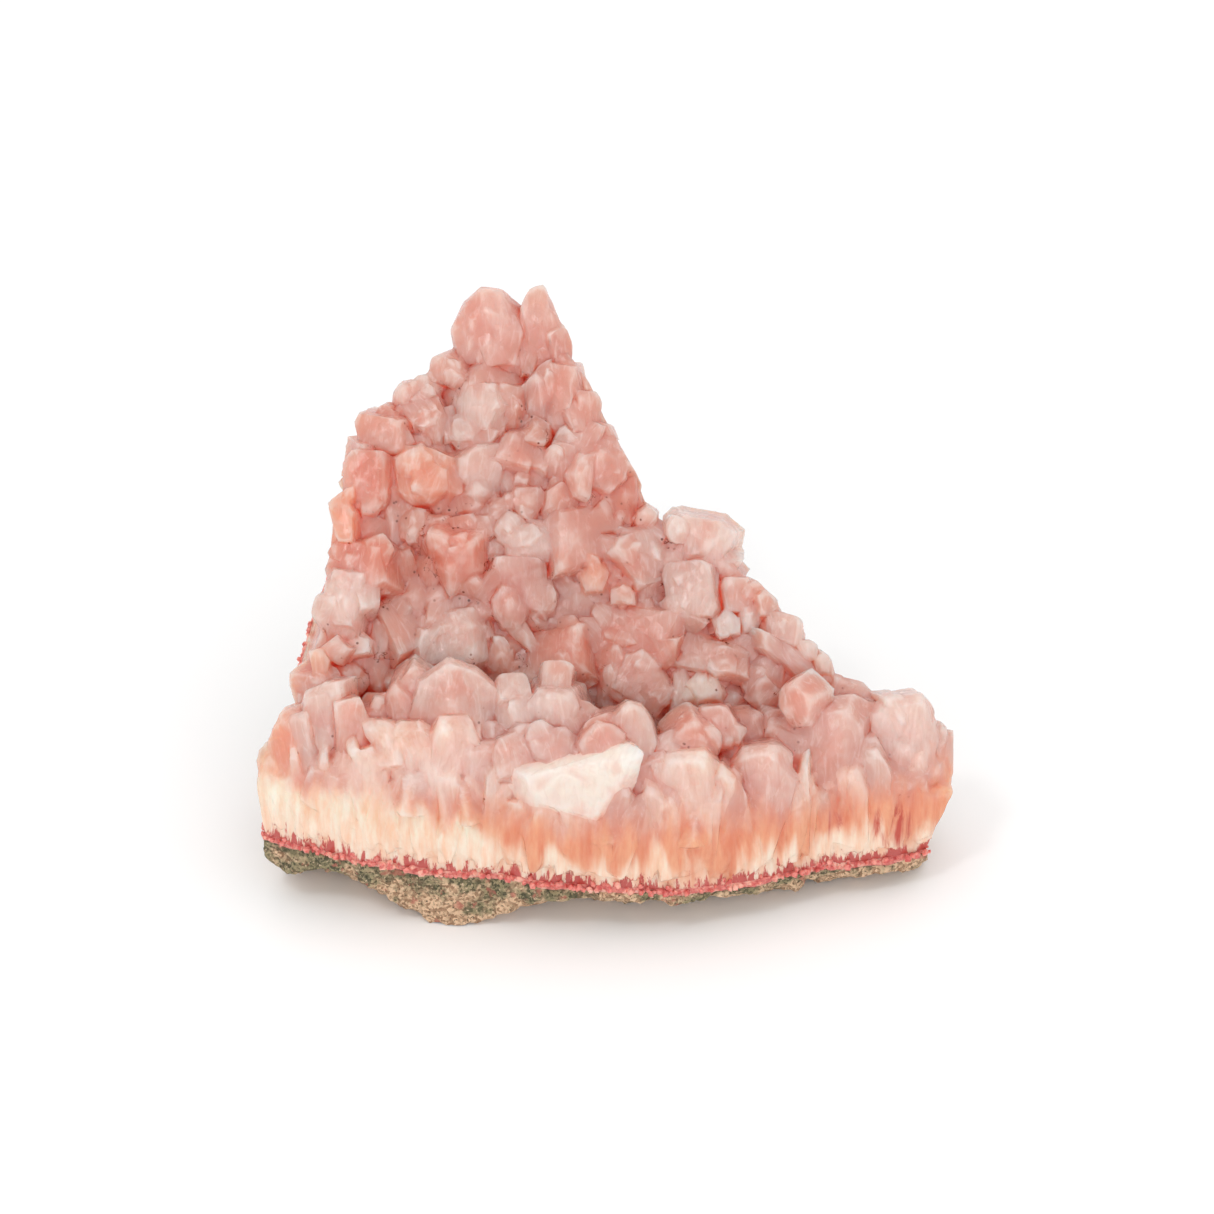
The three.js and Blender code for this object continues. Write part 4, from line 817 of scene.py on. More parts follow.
def widened(points, by):
    """A sheet with one more cell on every side, to trim what hangs over the edges."""
    def beyond(a, b):
        return a + unit(a - b) * by
    rows = np.concatenate([
        beyond(points[:, :1], points[:, 1:2]), points, beyond(points[:, -1:], points[:, -2:-1]),
    ], axis=1)
    return np.concatenate([beyond(rows[:1], rows[1:2]), rows, beyond(rows[-1:], rows[-2:-1])])


# ---- Joining, refining and weathering ----
def joined(base, others, operation):
    """The base body with the others joined to it or cut from it, as a new mesh."""
    group = bpy.data.collections.new("to_join")
    for item in others:
        group.objects.link(item)
    bpy.context.scene.collection.objects.link(base)
    step = base.modifiers.new("join", "BOOLEAN")
    step.operation = operation
    step.operand_type = "COLLECTION"
    step.collection = group
    step.solver = "MANIFOLD"
    shown = base.evaluated_get(bpy.context.evaluated_depsgraph_get())
    mesh = bpy.data.meshes.new_from_object(shown)
    for item in [base, *others]:
        bpy.data.objects.remove(item)
    bpy.data.collections.remove(group)
    return bpy.data.objects.new("joined", mesh)


def triangles(item):
    """A mesh object made into points in row mm, triangles and each one's crystal number."""
    def column(data, field, kind, size=1):
        values = np.empty(len(data) * size, kind)
        data.foreach_get(field, values)
        return values

    mesh = item.data
    mesh.calc_loop_triangles()
    points = column(mesh.vertices, "co", np.float32, 3).reshape(-1, 3).astype(float) / MM
    tris = column(mesh.loop_triangles, "vertices", np.int32, 3).reshape(-1, 3)
    faces = column(mesh.loop_triangles, "polygon_index", np.int32)
    ids = column(mesh.attributes["cid"].data, "value", np.float32)
    bpy.data.objects.remove(item)
    return points, tris, ids[faces]


def edges_of(tris):
    """The three edges of each triangle in turn, with the lower point first."""
    return np.sort(tris[:, [[0, 1], [1, 2], [2, 0]]].reshape(-1, 2), axis=1)


def without_fins(tris, ids):
    """Drops the pairs of triangles that lie back to back on the same three points."""
    _, which, count = np.unique(np.sort(tris, axis=1), axis=0, return_inverse=True, return_counts=True)
    single = count[which.reshape(-1)] == 1
    return tris[single], ids[single]


def refined(points, tris, ids, wanted):
    """Triangles split until no edge is longer than is wanted at its ends, with their crystal
    numbers. Wanted is a rule from points to lengths."""
    for _ in range(MOST_SPLITS):
        edges, which = np.unique(edges_of(tris), axis=0, return_inverse=True)
        limit = wanted(points)[edges].max(axis=1)
        long = np.linalg.norm(points[edges[:, 0]] - points[edges[:, 1]], axis=1) > limit
        if not long.any():
            break
        middle = np.full(len(edges), -1)
        middle[long] = len(points) + np.arange(long.sum())
        points = np.vstack([points, points[edges[long]].mean(axis=1)])
        mids = middle[which.reshape(-1)].reshape(-1, 3)
        tris, ids = split_triangles(tris, mids, ids)
    return points, tris, ids


def split_triangles(tris, mids, ids):
    """Each triangle split over the middles of its edges; a middle of -1 is an edge left whole."""
    split = (mids >= 0).sum(axis=1)
    # Turned so that the first edge is split and, of two, the last is whole.
    turn = np.zeros(len(tris), int)
    turn[split == 1] = np.argmax(mids[split == 1] >= 0, axis=1)
    turn[split == 2] = (np.argmin(mids[split == 2] >= 0, axis=1) + 1) % 3
    order = (turn[:, None] + np.arange(3)) % 3
    a, b, c = np.take_along_axis(tris, order, axis=1).T
    d, e, f = np.take_along_axis(mids, order, axis=1).T
    parts, marks = [], []
    for count, corners in enumerate((
        [(a, b, c)],
        [(a, d, c), (d, b, c)],
        [(d, b, e), (a, d, e), (a, e, c)],
        [(a, d, f), (d, b, e), (f, e, c), (d, e, f)],
    )):
        for corner in corners:
            parts.append(np.stack([x[split == count] for x in corner], axis=1))
            marks.append(ids[split == count])
    return np.vstack(parts), np.concatenate(marks)


def main_part(points, tris, ids):
    """The mesh's largest connected part, without loose chips or points of no triangle."""
    label = np.arange(len(points))
    a, b = np.unique(edges_of(tris), axis=0).T
    while True:
        low = np.minimum(label[a], label[b])
        new = label.copy()
        np.minimum.at(new, a, low)
        np.minimum.at(new, b, low)
        new = new[new]
        if (new == label).all():
            break
        label = new
    kept = label[tris[:, 0]] == np.bincount(label[tris[:, 0]]).argmax()
    used = np.unique(tris[kept])
    place = np.full(len(points), -1)
    place[used] = np.arange(len(used))
    return points[used], place[tris[kept]], ids[kept]


def fine_skin(body, wanted):
    """A body's one closed skin, refined: points in row mm, triangles and crystal numbers."""
    points, tris, ids = main_part(*triangles(body))
    points, tris, ids = refined(points, *without_fins(tris, ids), wanted)
    return main_part(points, *without_fins(tris, ids))


def vertex_normals(points, tris):
    p = points[tris]
    facing = np.cross(p[:, 1] - p[:, 0], p[:, 2] - p[:, 0])
    normals = np.zeros_like(points)
    for k in range(3):
        np.add.at(normals, tris[:, k], facing)
    return normals / np.maximum(np.linalg.norm(normals, axis=1, keepdims=True), 1e-12)


class Skin:
    """Which points of a mesh are joined by an edge, for smoothing and for finding its ridges."""

    def __init__(self, count, tris):
        self.edges = np.unique(edges_of(tris), axis=0)
        self.degree = np.bincount(self.edges.ravel(), minlength=count).astype(float)

    def mean(self, values):
        """Each point's mean over the points around it."""
        flat = values.reshape(len(values), -1)
        total = np.zeros_like(flat)
        a, b = self.edges.T
        for k in range(flat.shape[1]):
            total[:, k] = np.bincount(a, flat[b, k], len(flat)) + np.bincount(b, flat[a, k], len(flat))
        return (total / np.maximum(self.degree, 1)[:, None]).reshape(values.shape)

    def crest(self, points, normals):
        """How far each point stands on a ridge (1) or in a groove (-1)."""
        a, b = self.edges.T
        length = np.linalg.norm(points[a] - points[b], axis=1)
        reach = (np.bincount(a, length, len(points)) + np.bincount(b, length, len(points))) / self.degree
        bend = ((points - self.mean(points)) * normals).sum(axis=1) / np.maximum(reach, 1e-6)
        crest = np.clip(bend * 3, -1, 1)
        return 0.5 * crest + 0.5 * self.mean(crest)


def hollowness(points, normals, tris):
    """How much of the space in front of each point is closed off, from 0 to 1."""
    tree = BVHTree.FromPolygons(points.tolist(), tris.tolist())
    k = np.arange(HOLLOW_RAYS) + 0.5
    tall = 1 - 2 * k / HOLLOW_RAYS
    turn = k * math.pi * (3 - math.sqrt(5))
    wide = np.sqrt(1 - tall * tall)
    ways = np.stack([wide * np.cos(turn), wide * np.sin(turn), tall], 1)
    closed = np.zeros(len(points))
    total = np.zeros(len(points))
    starts = [Vector(p) for p in points + normals * 0.05]
    for way in ways:
        facing = normals @ way
        aim = Vector(way)
        for n in np.nonzero(facing > 0.2)[0]:
            distance = tree.ray_cast(starts[n], aim, HOLLOW_REACH)[3]
            if distance is not None:
                closed[n] += facing[n] * (1 - 0.6 * distance / HOLLOW_REACH)
        total += np.where(facing > 0.2, facing, 0)
    return closed / np.maximum(total, 1e-6)


def linear(rgb):
    """A colour as seen, 0 to 255, to the shader's linear values."""
    c = np.asarray(rgb, float) / 255
    return np.where(c <= 0.04045, c / 12.92, ((c + 0.055) / 1.055) ** 2.4)


def finished(name, points, tris, node, material, sharp):
    """A piece of the object in place of a node of the frame, and inside the frame's box."""
    mesh = bpy.data.meshes.new(name)
    inside = np.clip(points, np.array(CAD_BOX[0]) / MM, np.array(CAD_BOX[1]) / MM)
    mesh.from_pydata((inside * MM).tolist(), [], tris.tolist())
    if mesh.validate():
        raise RuntimeError(f"{name}: {len(tris)} triangles in, {len(mesh.polygons)} left")
    mesh.materials.append(material)
    mesh.polygons.foreach_set("use_smooth", [True] * len(mesh.polygons))
    mesh.set_sharp_from_angle(angle=math.radians(sharp))
    piece = bpy.data.objects.new(name, mesh)
    bpy.context.scene.collection.objects.link(piece)
    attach(piece, "root")
    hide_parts(node)
    return piece


def spots(table, u, v):
    """How strongly each point lies in one of the table's soft round patches."""
    most = np.zeros_like(u)
    for cu, cv, reach, strength in table:
        most = np.maximum(most, strength * np.exp(-((u - cu) ** 2 + (v - cv) ** 2) / reach ** 2))
    return most


def mark(piece, name, values, kind="FLOAT", domain="POINT"):
    """Sets an attribute that the piece's material reads."""
    field = {"FLOAT": "value", "FLOAT_VECTOR": "vector", "FLOAT_COLOR": "color"}[kind]
    made = piece.data.attributes.new(name, kind, domain)
    made.data.foreach_set(field, np.asarray(values, np.float32).ravel())


# ---- Shaders ----
class Shader:
    """A material and the short forms that its nodes are written in."""

    def __init__(self, name):
        self.material = bpy.data.materials.new(name)
        self.material.use_nodes = True
        self.tree = self.material.node_tree
        self.tree.nodes.clear()

    def node(self, kind, inputs=(), **settings):
        made = self.tree.nodes.new("ShaderNode" + kind)
        for key, value in settings.items():
            setattr(made, key, value)
        for socket, value in dict(inputs).items():
            if isinstance(value, bpy.types.NodeSocket):
                self.tree.links.new(value, made.inputs[socket])
            else:
                made.inputs[socket].default_value = value
        return made

    def math(self, operation, a, b=0.0):
        return self.node("Math", {0: a, 1: b}, operation=operation).outputs[0]

    def times(self, a, b):
        return self.math("MULTIPLY", a, b)

    def plus(self, a, b):
        return self.math("ADD", a, b)

    def minus(self, a, b):
        return self.math("SUBTRACT", a, b)

    def swing(self, noise, reach):
        """Noise about zero, with the given reach from end to end."""
        return self.times(self.minus(noise, 0.5), reach)

    def step(self, value, low, high):
        made = self.node("MapRange", {"Value": value, "From Min": low, "From Max": high},
                         interpolation_type="SMOOTHSTEP")
        return made.outputs["Result"]

    def mix(self, share, a, b):
        """Two colours mixed; one that is three numbers is as seen, 0 to 255."""
        a, b = ((*linear(c), 1) if isinstance(c, tuple) else c for c in (a, b))
        made = self.node("Mix", {0: share, 6: a, 7: b}, data_type="RGBA")
        return made.outputs[2]

    def layered(self, colour, layers):
        """The colour under layers of others, each with its share and how strong it is at most."""
        for share, most, rgb in layers:
            colour = self.mix(self.times(share, most), colour, rgb)
        return colour

    def value(self, name):
        return self.node("Attribute", attribute_name=name).outputs["Fac"]

    def vector(self, name):
        return self.node("Attribute", attribute_name=name).outputs["Vector"]

    def place(self):
        """The point on the object, in mm."""
        return self.stretched(self.node("TexCoord").outputs["Object"], 1000, 1000, 1000)

    def stretched(self, vector, x, y, z):
        return self.node("Mapping", {"Vector": vector, "Scale": (x, y, z)}).outputs["Vector"]

    def part(self, vector, axis):
        return self.node("SeparateXYZ", {"Vector": vector}).outputs[axis]

    def noise(self, vector, scale=1.0, detail=3.0, roughness=0.55, warp=0.0):
        made = self.node("TexNoise", {"Vector": vector, "Scale": scale, "Detail": detail,
                                      "Roughness": roughness, "Distortion": warp})
        return made.outputs["Fac"]

    def cells(self, vector, scale):
        return self.node("TexVoronoi", {"Vector": vector, "Scale": scale}, feature="F1").outputs

    def bump(self, height, strength, distance, normal=None):
        inputs = {"Height": height, "Strength": strength, "Distance": distance}
        if normal is not None:
            inputs["Normal"] = normal
        return self.node("Bump", inputs).outputs["Normal"]

    def surface(self, inputs):
        lobe = self.node("BsdfPrincipled", inputs)
        out = self.node("OutputMaterial")
        self.tree.links.new(lobe.outputs["BSDF"], out.inputs["Surface"])
        return self.material


def band_colour(s, fibre, height, painted_glow, frost):
    """Cream fibres with peach and orange between them, a painted orange-red glow of light shining
    through at listed spots, and red at the very root.
    """
    streaks = s.noise(fibre, 0.6, 4, 0.62)
    blotches = s.noise(fibre, 0.2, 3, 0.55, 0.4)
    cream = s.mix(s.step(streaks, 0.3, 0.68), (255, 236, 216), (253, 200, 168))
    orange = s.mix(s.step(streaks, 0.3, 0.75), (240, 170, 132), (226, 130, 94))
    reach = s.plus(height, s.swing(blotches, 26.0))
    reach = s.minus(reach, s.times(frost, 9.0))
    reach = s.plus(reach, s.times(s.step(s.part(fibre, "X"), -18.0, 4.0), 3.0))
    band = s.mix(s.step(reach, 4.0, 9.0), cream, orange)
    wisps = s.math("POWER", s.noise(fibre, 0.5, 4, 0.65, 0.8), 2.0)
    # Painted orange-red glow of light shining through the fibres, at the listed spots.
    painted_glow_flame = s.times(painted_glow, s.times(wisps, 4.0))
    band = s.mix(s.step(painted_glow_flame, 0.5, 1.3), band, (196, 72, 52))
    root = s.plus(height, s.swing(s.noise(fibre, 0.8, 5, 0.7), 13.0))
    return s.mix(s.step(root, 1.6, 0.5), band, (202, 84, 76))


def crystal_colour(s, place, local, painted_glow, frost, pearl_gloss_and_painted_sheen):
    """Pale faces, with a painted sheen on the pearly ones; painted shade that turns them salmon to
    orange-red where they are closed in, and a painted orange-red glow at listed spots; painted
    highlights on ridges and painted shade in grooves; a few dark specks and hairlines in the hollows."""
    tone = s.node("Attribute", attribute_name="tone").outputs["Color"]
    crest = s.value("crest")
    unrest = s.swing(s.noise(place, 0.25, 3), 0.4)
    # Mask of the painted shade: how closed in each point is, uneven, and deeper where the glow is painted.
    painted_shade = s.plus(s.plus(s.value("hollow_shade"), unrest), s.times(painted_glow, 0.34))
    veils = s.noise(s.stretched(local, 1.5, 0.35, 1.5), 0.6, 4, 0.6, 1.0)
    clouds = s.noise(place, 0.16, 3, 0.5, 0.5)
    body = s.layered(tone, [
        (s.step(clouds, 0.48, 0.62), 0.5, (218, 177, 165)),
        (s.step(clouds, 0.5, 0.36), 0.5, (212, 140, 120)),
        (frost, 0.6, (238, 218, 210)),
        (s.step(veils, 0.48, 0.75), 0.3, (246, 228, 222)),
        (s.step(veils, 0.5, 0.28), 0.24, (204, 138, 124)),
        # Painted sheen on the pearly crystals.
        (pearl_gloss_and_painted_sheen, 0.35, (252, 230, 220)),
        # Painted shade, salmon where the crystals are closed in, then a painted orange-red glow at the listed
        # spots.
        (s.step(painted_shade, 0.34, 0.66), 0.7, (228, 158, 140)),
        (painted_glow, 0.5, (214, 120, 96)),
    ])
    # The deepest painted shade, orange-red where the glow is painted.
    deepest_painted_shade = s.mix(painted_glow, (236, 150, 126), (212, 98, 72))
    body = s.mix(s.step(painted_shade, 0.6, 0.95), body, deepest_painted_shade)
    # Painted highlight on the ridges and painted shade in the grooves.
    body = s.layered(body, [
        (s.step(crest, 0.08, 0.45), 0.25, (248, 232, 226)),
        (s.step(crest, -0.2, -0.6), 0.35, (186, 100, 80)),
    ])
    specks = s.step(s.cells(place, 0.75)["Distance"], 0.2, 0.08)
    rare = s.step(s.noise(place, 0.3, 1), 0.5, 0.58)
    bend = s.math("ABSOLUTE", s.minus(s.noise(place, 0.22, 4, 0.6, 0.6), 0.5))
    thread = s.times(s.step(bend, 0.006, 0.002), s.step(painted_shade, 0.3, 0.45))
    return s.layered(body, [
        (s.times(specks, rare), s.step(painted_shade, 0.12, 0.36), (128, 66, 50)),
        (thread, s.step(rare, 0.0, 0.5), (150, 78, 56)),
    ])


def crystal_relief(s, local, fine):
    """Striations, small facets that each slope their own way, and fine roughness."""
    lines = s.noise(s.stretched(local, 2.2, 0.25, 2.2), 1.0, 4, 0.6)
    cell = s.cells(local, 0.9)
    slope = s.node("VectorMath", {0: cell["Color"], 1: (0.5, 0.5, 0.5)}, operation="SUBTRACT")
    within = s.node("VectorMath", {0: local, 1: cell["Position"]}, operation="SUBTRACT")
    facet = s.node("VectorMath", {0: slope.outputs[0], 1: within.outputs[0]}, operation="DOT_PRODUCT")
    relief = s.bump(lines, 0.25, 0.0004)
    relief = s.bump(facet.outputs["Value"], 0.35, 0.0007, relief)
    return s.bump(fine, 0.18, 0.0003, relief)


def crust_material():
    """Milky pink crystal over the fibrous band, clearer towards the root."""
    s = Shader("heulandite_crystal")
    place, fibre, local = s.place(), s.vector("fibre"), s.vector("local")
    height, painted_glow, frost, pearl_gloss_and_painted_sheen = (s.value(name) for name in ("height", "painted_glow", "frost", "pearl_gloss_and_painted_sheen"))
    band = band_colour(s, fibre, height, painted_glow, frost)
    body = crystal_colour(s, place, local, painted_glow, frost, pearl_gloss_and_painted_sheen)
    edge = s.plus(height, s.swing(s.noise(fibre, 0.5, 3), 8.0))
    fine = s.noise(place, 1.6, 4, 0.6)
    rough = s.plus(0.04, s.times(fine, 0.24))
    rough = s.times(rough, s.minus(1.0, s.times(pearl_gloss_and_painted_sheen, 0.4)))
    return s.surface({
        "Base Color": s.mix(s.step(edge, 7.0, 14.0), band, body),
        "Roughness": rough, "Normal": crystal_relief(s, local, fine),
        "Subsurface Weight": s.plus(0.15, s.times(s.step(height, 2.0, 13.0), 0.85)),
        "Subsurface Radius": (1.0, 0.6, 0.5), "Subsurface Scale": 0.012,
        "Specular IOR Level": 0.7, "IOR": 1.5, "Transmission Weight": 0.12,
    })


def seam_material():
    s = Shader("red_seam_grains")
    place = s.place()
    lumps = s.noise(place, 1.1, 4, 0.65)
    colour = s.mix(s.step(lumps, 0.35, 0.65), (196, 84, 80), (232, 146, 134))
    colour = s.mix(s.step(s.noise(place, 0.6, 3), 0.5, 0.62), colour, (240, 176, 158))
    return s.surface({"Base Color": colour, "Roughness": 0.5, "Normal": s.bump(lumps, 0.5, 0.0004),
                      "Subsurface Weight": 0.5, "Subsurface Radius": (1.0, 0.3, 0.25),
                      "Subsurface Scale": 0.0008})


def rock_material():
    """Green grains, browner towards the table, with pale, dark and red ones among them."""
    s = Shader("matrix_grains")
    place = s.place()
    pick = s.node("SeparateColor", {"Color": s.cells(place, 2.5)["Color"]}).outputs[0]
    green = s.mix(s.step(pick, 0.1, 0.9), (84, 82, 60), (158, 146, 110))
    brown = s.mix(s.step(pick, 0.1, 0.9), (166, 128, 98), (240, 204, 168))
    patch = s.minus(s.noise(place, 0.3, 3, 0.6), s.times(s.part(place, "Z"), 0.035))
    fine = s.noise(place, 2.4, 4, 0.7)
    colour = s.mix(s.step(patch, 0.2, 0.42), green, brown)
    colour = s.mix(s.step(fine, 0.58, 0.66), colour, (226, 200, 168))
    colour = s.mix(s.step(fine, 0.42, 0.34), colour, (52, 46, 34))
    red = s.step(s.noise(place, 0.45, 3), 0.6, 0.68)
    colour = s.mix(s.times(red, 0.7), colour, (196, 116, 100))
    relief = s.bump(s.noise(place, 2.6, 4, 0.7), 0.8, 0.0006)
    return s.surface({"Base Color": colour, "Roughness": 0.85, "Normal": relief})


# ---- The crust ----
def crust_edge(points):
    """How long the crust's edges may be: fine where it shows, coarse on its hidden underside."""
    u, v, w = to_slope(points).T
    return np.where(w - underside_w(u, v) < 0.4, HIDDEN_EDGE, CRUST_EDGE)


def root_height(points):
    """How far each point has grown from the seam, in mm; the thin crust of the peak counts more."""
    u, v, w = to_slope(points).T
    wall = (w - wall_w(u, v)) * 0.996 * (1 + 1.6 * blend(v, 58, 78))
    return np.minimum(points[:, 2] - lift(u), wall)


def grown_crystals():
    crystals = Crystals()
    grow_front(crystals)
    grow_large(crystals)
    grow_band(crystals)
    fill(crystals)
    return crystals


def crust_skin(crystals):
    """The crust with all its crystals, cut off along its underside."""
    i, j = fine_grid()
    under = surface_point(i, j)
    base = closed_slab(under, crust_top(under, i, j), "crust_base")
    whole = joined(base, crystals.objects, "UNION")
    whole = joined(whole, [below_crust()], "DIFFERENCE")
    points, tris, ids = fine_skin(whole, crust_edge)
    return points, tris, np.rint(ids).astype(int)


def softened(points, skin):
    """Sharp edges smoothed: a little everywhere, most on the band under the lip, none at the root."""
    above = points[:, 2] - lift(points[:, 0])
    tall = to_slope(points)[:, 1]
    soft = SOFTENING + 0.15 * blend(tall, 28, 34) + 0.2 * blend(-tall, -34, -28)
    soft = soft + 0.3 * blend(-above, -19, -8) * blend(-tall, -30, -22)
    soft = soft * blend(root_height(points), 0.6, 3.5)
    for turn in range(5):
        share = soft if turn == 0 else np.maximum(soft - SOFTENING - 0.1, 0)
        points = points + share[:, None] * (skin.mean(points) - points)
    return points


def weathered(points, crest, normals):
    """Chips along the ridges, and a slight unevenness."""
    chipped = np.maximum(grain(points, 0.9, 7), 0) * np.maximum(crest, 0)
    uneven = 0.05 * grain(points, 1.3, 1) + 0.08 * grain(points, 3.1, 2)
    return points + normals * (uneven - 0.6 * chipped)[:, None]


def fibre_space(points, place):
    """Where each point is, drawn together along the fibres: upright in front, out of the wall
    behind. Place is the point on the slope."""
    up_arm = blend(place[:, 1], 26, 36)[:, None]
    along_fibre = np.array([1, 1, 0.14])
    return points * along_fibre * (1 - up_arm) + place * along_fibre * up_arm


def crystal_space(crystals, place, tris, ids):
    """Where each triangle's corners are on their crystal's own axes, each crystal apart."""
    centres = np.array([f[0] for f in crystals.frames])
    axes = np.array([f[1:] for f in crystals.frames])
    corners = place[tris] - centres[ids][:, None, :]
    local = np.einsum("tcx,tax->tca", corners, axes[ids])
    return local + (ids * 7.31 % 97)[:, None, None]


def crystal_tones(crystals, tris, ids, skin):
    """The tone at each triangle's corners: its crystal's, mostly blended with those around it."""
    chance = stream(93)
    palette = []
    for tone in crystals.tones:
        shift = 10 * (next(chance) - 0.5)
        red, green, blue = TONES[tone]
        palette.append([*linear((min(red + shift * 0.4, 255), green + shift, blue + shift)), 1])
    tones = np.array(palette)[ids]
    spread = np.zeros((len(skin.degree), 4))
    for k in range(3):
        np.add.at(spread, tris[:, k], tones)
    spread /= spread[:, 3:]
    for _ in range(TONE_SPREAD):
        spread = 0.3 * spread + 0.7 * skin.mean(spread)
    return (1 - TONE_BLEND) * tones[:, None, :] + TONE_BLEND * spread[tris]


def build_crust():
    crystals = grown_crystals()
    points, tris, ids = crust_skin(crystals)
    skin = Skin(len(points), tris)
    points = softened(points, skin)
    normals = vertex_normals(points, tris)
    crest = skin.crest(points, normals)
    points = weathered(points, crest, normals)
    hollow_shade = hollowness(points, vertex_normals(points, tris), tris)
    for _ in range(3):
        hollow_shade = 0.5 * hollow_shade + 0.5 * skin.mean(hollow_shade)
    place = to_slope(points)
    u, v, _ = place.T
    behind = points[:, 1] + MIDDLE_BACK - along(FRONT_EDGE, u)

    piece = finished("heulandite_crystals", points, tris, "heulandite_crust",
                     crust_material(), 38)
    # Closed-in places take painted shade in the crystal colour.
    mark(piece, "hollow_shade", hollow_shade)
    # Ridges take a painted highlight and grooves a painted shade in the crystal colour.
    mark(piece, "crest", crest)
    mark(piece, "height", root_height(points) + 5 * blend(behind, 3, 7))
    # Where a painted orange-red glow stands for light shining through.
    mark(piece, "painted_glow", spots(PAINTED_GLOWS, u, v))
    mark(piece, "frost", spots(FROSTS, u, v))
    mark(piece, "fibre", fibre_space(points, place), "FLOAT_VECTOR")
    mark(piece, "local", crystal_space(crystals, place, tris, ids), "FLOAT_VECTOR", "CORNER")
    mark(piece, "tone", crystal_tones(crystals, tris, ids, skin), "FLOAT_COLOR", "CORNER")
    # Pearly crystals take a painted sheen, and lower roughness, in the crystal colour.
    mark(piece, "pearl_gloss_and_painted_sheen", np.array([tone == "w" for tone in crystals.tones])[ids], domain="FACE")


# ---- The seam ----
def granule(centre, size, number):
    """One irregular grain, from an icosahedron; its centre in slope mm."""
    gold = (1 + math.sqrt(5)) / 2
    corners = np.array([c for a in (-1, 1) for b in (-gold, gold)
                        for c in ((0, a, b), (a, b, 0), (b, 0, a))])
    # A face joins three corners that are all two units apart.
    near = np.abs(np.linalg.norm(corners[:, None] - corners[None], axis=2) - 2) < 1e-6
    faces = []
    for a, b, c in combinations(range(12), 3):
        if near[a, b] and near[b, c] and near[a, c]:
            facing = np.cross(corners[b] - corners[a], corners[c] - corners[a])
            faces.append([a, b, c] if facing @ corners[a] > 0 else [a, c, b])
    wobble = 1 + 0.35 * grain(corners + number * 5.3, 1.0, 5)
    points = centre + unit(corners) * size * wobble[:, None]
    return mesh_object(f"grain_{number}", points, faces, number)


def seam_grains():
    """Grains along the seam's broken edge, some of them in teeth that climb into the fibres."""
    chance = stream(3301)

    def some(low, high):
        return low + (high - low) * next(chance)

    grains = []
    u, end = -47.6, 45.4
    while u < end:
        front = along(FRONT_EDGE, u)
        teeth = int(some(0, 3.2) * (next(chance) > 0.55))
        for k in range(1 + teeth):
            place = np.array([u + some(-0.3, 0.3), front - MIDDLE_BACK - some(-0.3, 0.4),
                              lift(u) - some(0.1, 0.5) + k * some(0.5, 0.9)])
            size = some(0.3, 0.6) * (1 - 0.15 * k)
            grains.append(granule(to_slope(place), size, len(grains) + 1))
        u += some(0.4, 0.8)
    for ends, side, v, top in ((LEFT_END, -1, 10, 66), (RIGHT_END, 1, 10, 30)):
        while v < top:
            edge = along(ends, v)
            place = np.array([edge + side * some(-0.1, 0.3), v, underside_w(edge, v) - some(0.1, 0.8)])
            grains.append(granule(place, some(0.25, 0.55), len(grains) + 1))
            v += some(0.5, 1.0)
    return grains


def seam_edge(points):
    return np.full(len(points), SEAM_EDGE)


def build_seam():
    i, j = fine_grid()
    under = surface_point(i, j)
    normals = outward(under[..., 0], under[..., 1])
    depth = GAP + seam_depth(i, j)
    body = closed_slab(under - normals * depth[..., None], under + normals * 0.2, "seam")
    points, tris, _ = fine_skin(joined(body, seam_grains(), "UNION"), seam_edge)
    points = points + vertex_normals(points, tris) * (0.13 * grain(points, 0.7, 11))[:, None]
    finished("red_seam_crust", points, tris, "red_seam", seam_material(), 50)


# ---- The rock ----
def rock_edge(points):
    """How long the rock's edges may be: fine along its broken front."""
    return np.where(points[:, 1] < -16, ROCK_FRONT_EDGE, ROCK_EDGE)


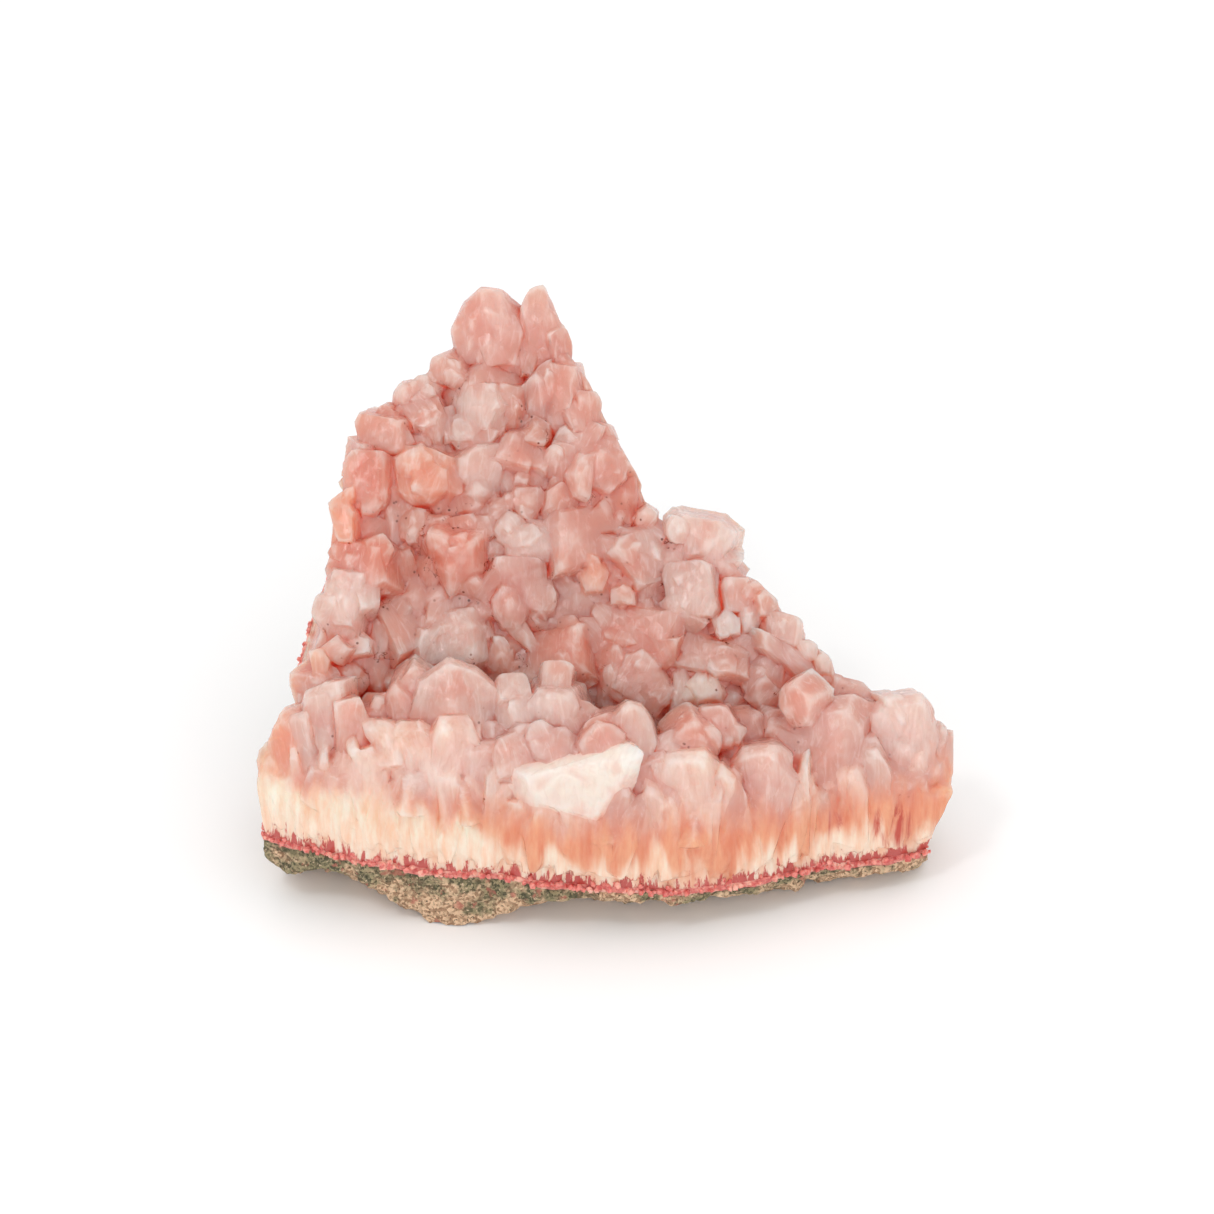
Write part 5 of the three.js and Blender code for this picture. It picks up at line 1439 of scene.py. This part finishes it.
def build_rock():
    i, j = fine_grid(ROCK_COLUMNS)
    tall = np.interp(j, range(len(ROWS)), ROWS)
    inset = ROCK_INSET * blend(tall, 13, 24) * COLUMNS
    under = surface_point(inset + i * (1 - inset / COLUMNS), j)
    normals = outward(under[..., 0], under[..., 1])
    upper = under - normals * (GAP + seam_depth(i, j) + 0.05)[..., None]
    points, tris, _ = fine_skin(closed_slab(rock_bottom(under, i, j, normals), upper, "rock"), rock_edge)
    facing = vertex_normals(points, tris)
    slope = to_slope(points)
    turned_up = (outward(slope[:, 0], slope[:, 1]) * on_slope(facing)).sum(axis=1)
    free = 1 - 0.9 * blend(turned_up, 0.2, 0.7)  # the face that the crust grew on stays smooth
    rough = 0.5 * grain(points, 3.3, 21) + 0.45 * grain(points, 1.5, 22) + 0.3 * grain(points, 0.8, 23)
    points = points + facing * (free * rough)[:, None]
    points[:, 2] = np.maximum(points[:, 2], 0)
    finished("matrix_rock", points, tris, "matrix", rock_material(), 50)


# ---- Stage, light and camera ----
def build_stage():
    a = FLOOR_SIZE
    mesh = bpy.data.meshes.new("floor")
    mesh.from_pydata([(-a, -a, 0), (a, -a, 0), (a, a, 0), (-a, a, 0)], [], [(0, 1, 2, 3)])
    floor = bpy.data.objects.new("floor", mesh)
    s = Shader("pale_floor")
    mesh.materials.append(s.surface({"Base Color": (0.97, 0.97, 0.97, 1), "Roughness": 0.9,
                                     "Specular IOR Level": 0.1}))
    bpy.context.scene.collection.objects.link(floor)


def build_light():
    world = bpy.data.worlds.new("studio")
    world.use_nodes = True
    background = world.node_tree.nodes["Background"]
    background.inputs["Color"].default_value = (1, 1, 1, 1)
    background.inputs["Strength"].default_value = SKY_STRENGTH
    bpy.context.scene.world = world
    for name, place, size, power in LIGHTS:
        light = bpy.data.lights.new(name, "AREA")
        light.shape = "DISK"
        light.size = size
        light.energy = power
        item = bpy.data.objects.new(name, light)
        item.location = place
        item.rotation_euler = (Vector(LIGHT_AIM) - Vector(place)).to_track_quat("-Z", "Y").to_euler()
        bpy.context.scene.collection.objects.link(item)
    bpy.context.scene.view_settings.view_transform = "Standard"


def build_camera():
    """The photo's own view, square on to the slope."""
    centre = to_frame(np.array(PICTURE_MIDDLE)) * MM
    camera = bpy.data.objects.new("camera", bpy.data.cameras.new("camera"))
    camera.data.lens = CAMERA_LENS
    camera.data.sensor_width = 36
    camera.location = Vector(centre) + CAMERA_DISTANCE * Vector((0, -COS, SIN))
    camera.rotation_euler = (math.pi / 2 - LEAN, 0, 0)
    camera.data.clip_start = 0.05
    bpy.context.scene.collection.objects.link(camera)
    bpy.context.scene.camera = camera


build_camera()
build_crust()
build_seam()
build_rock()
build_stage()
build_light()
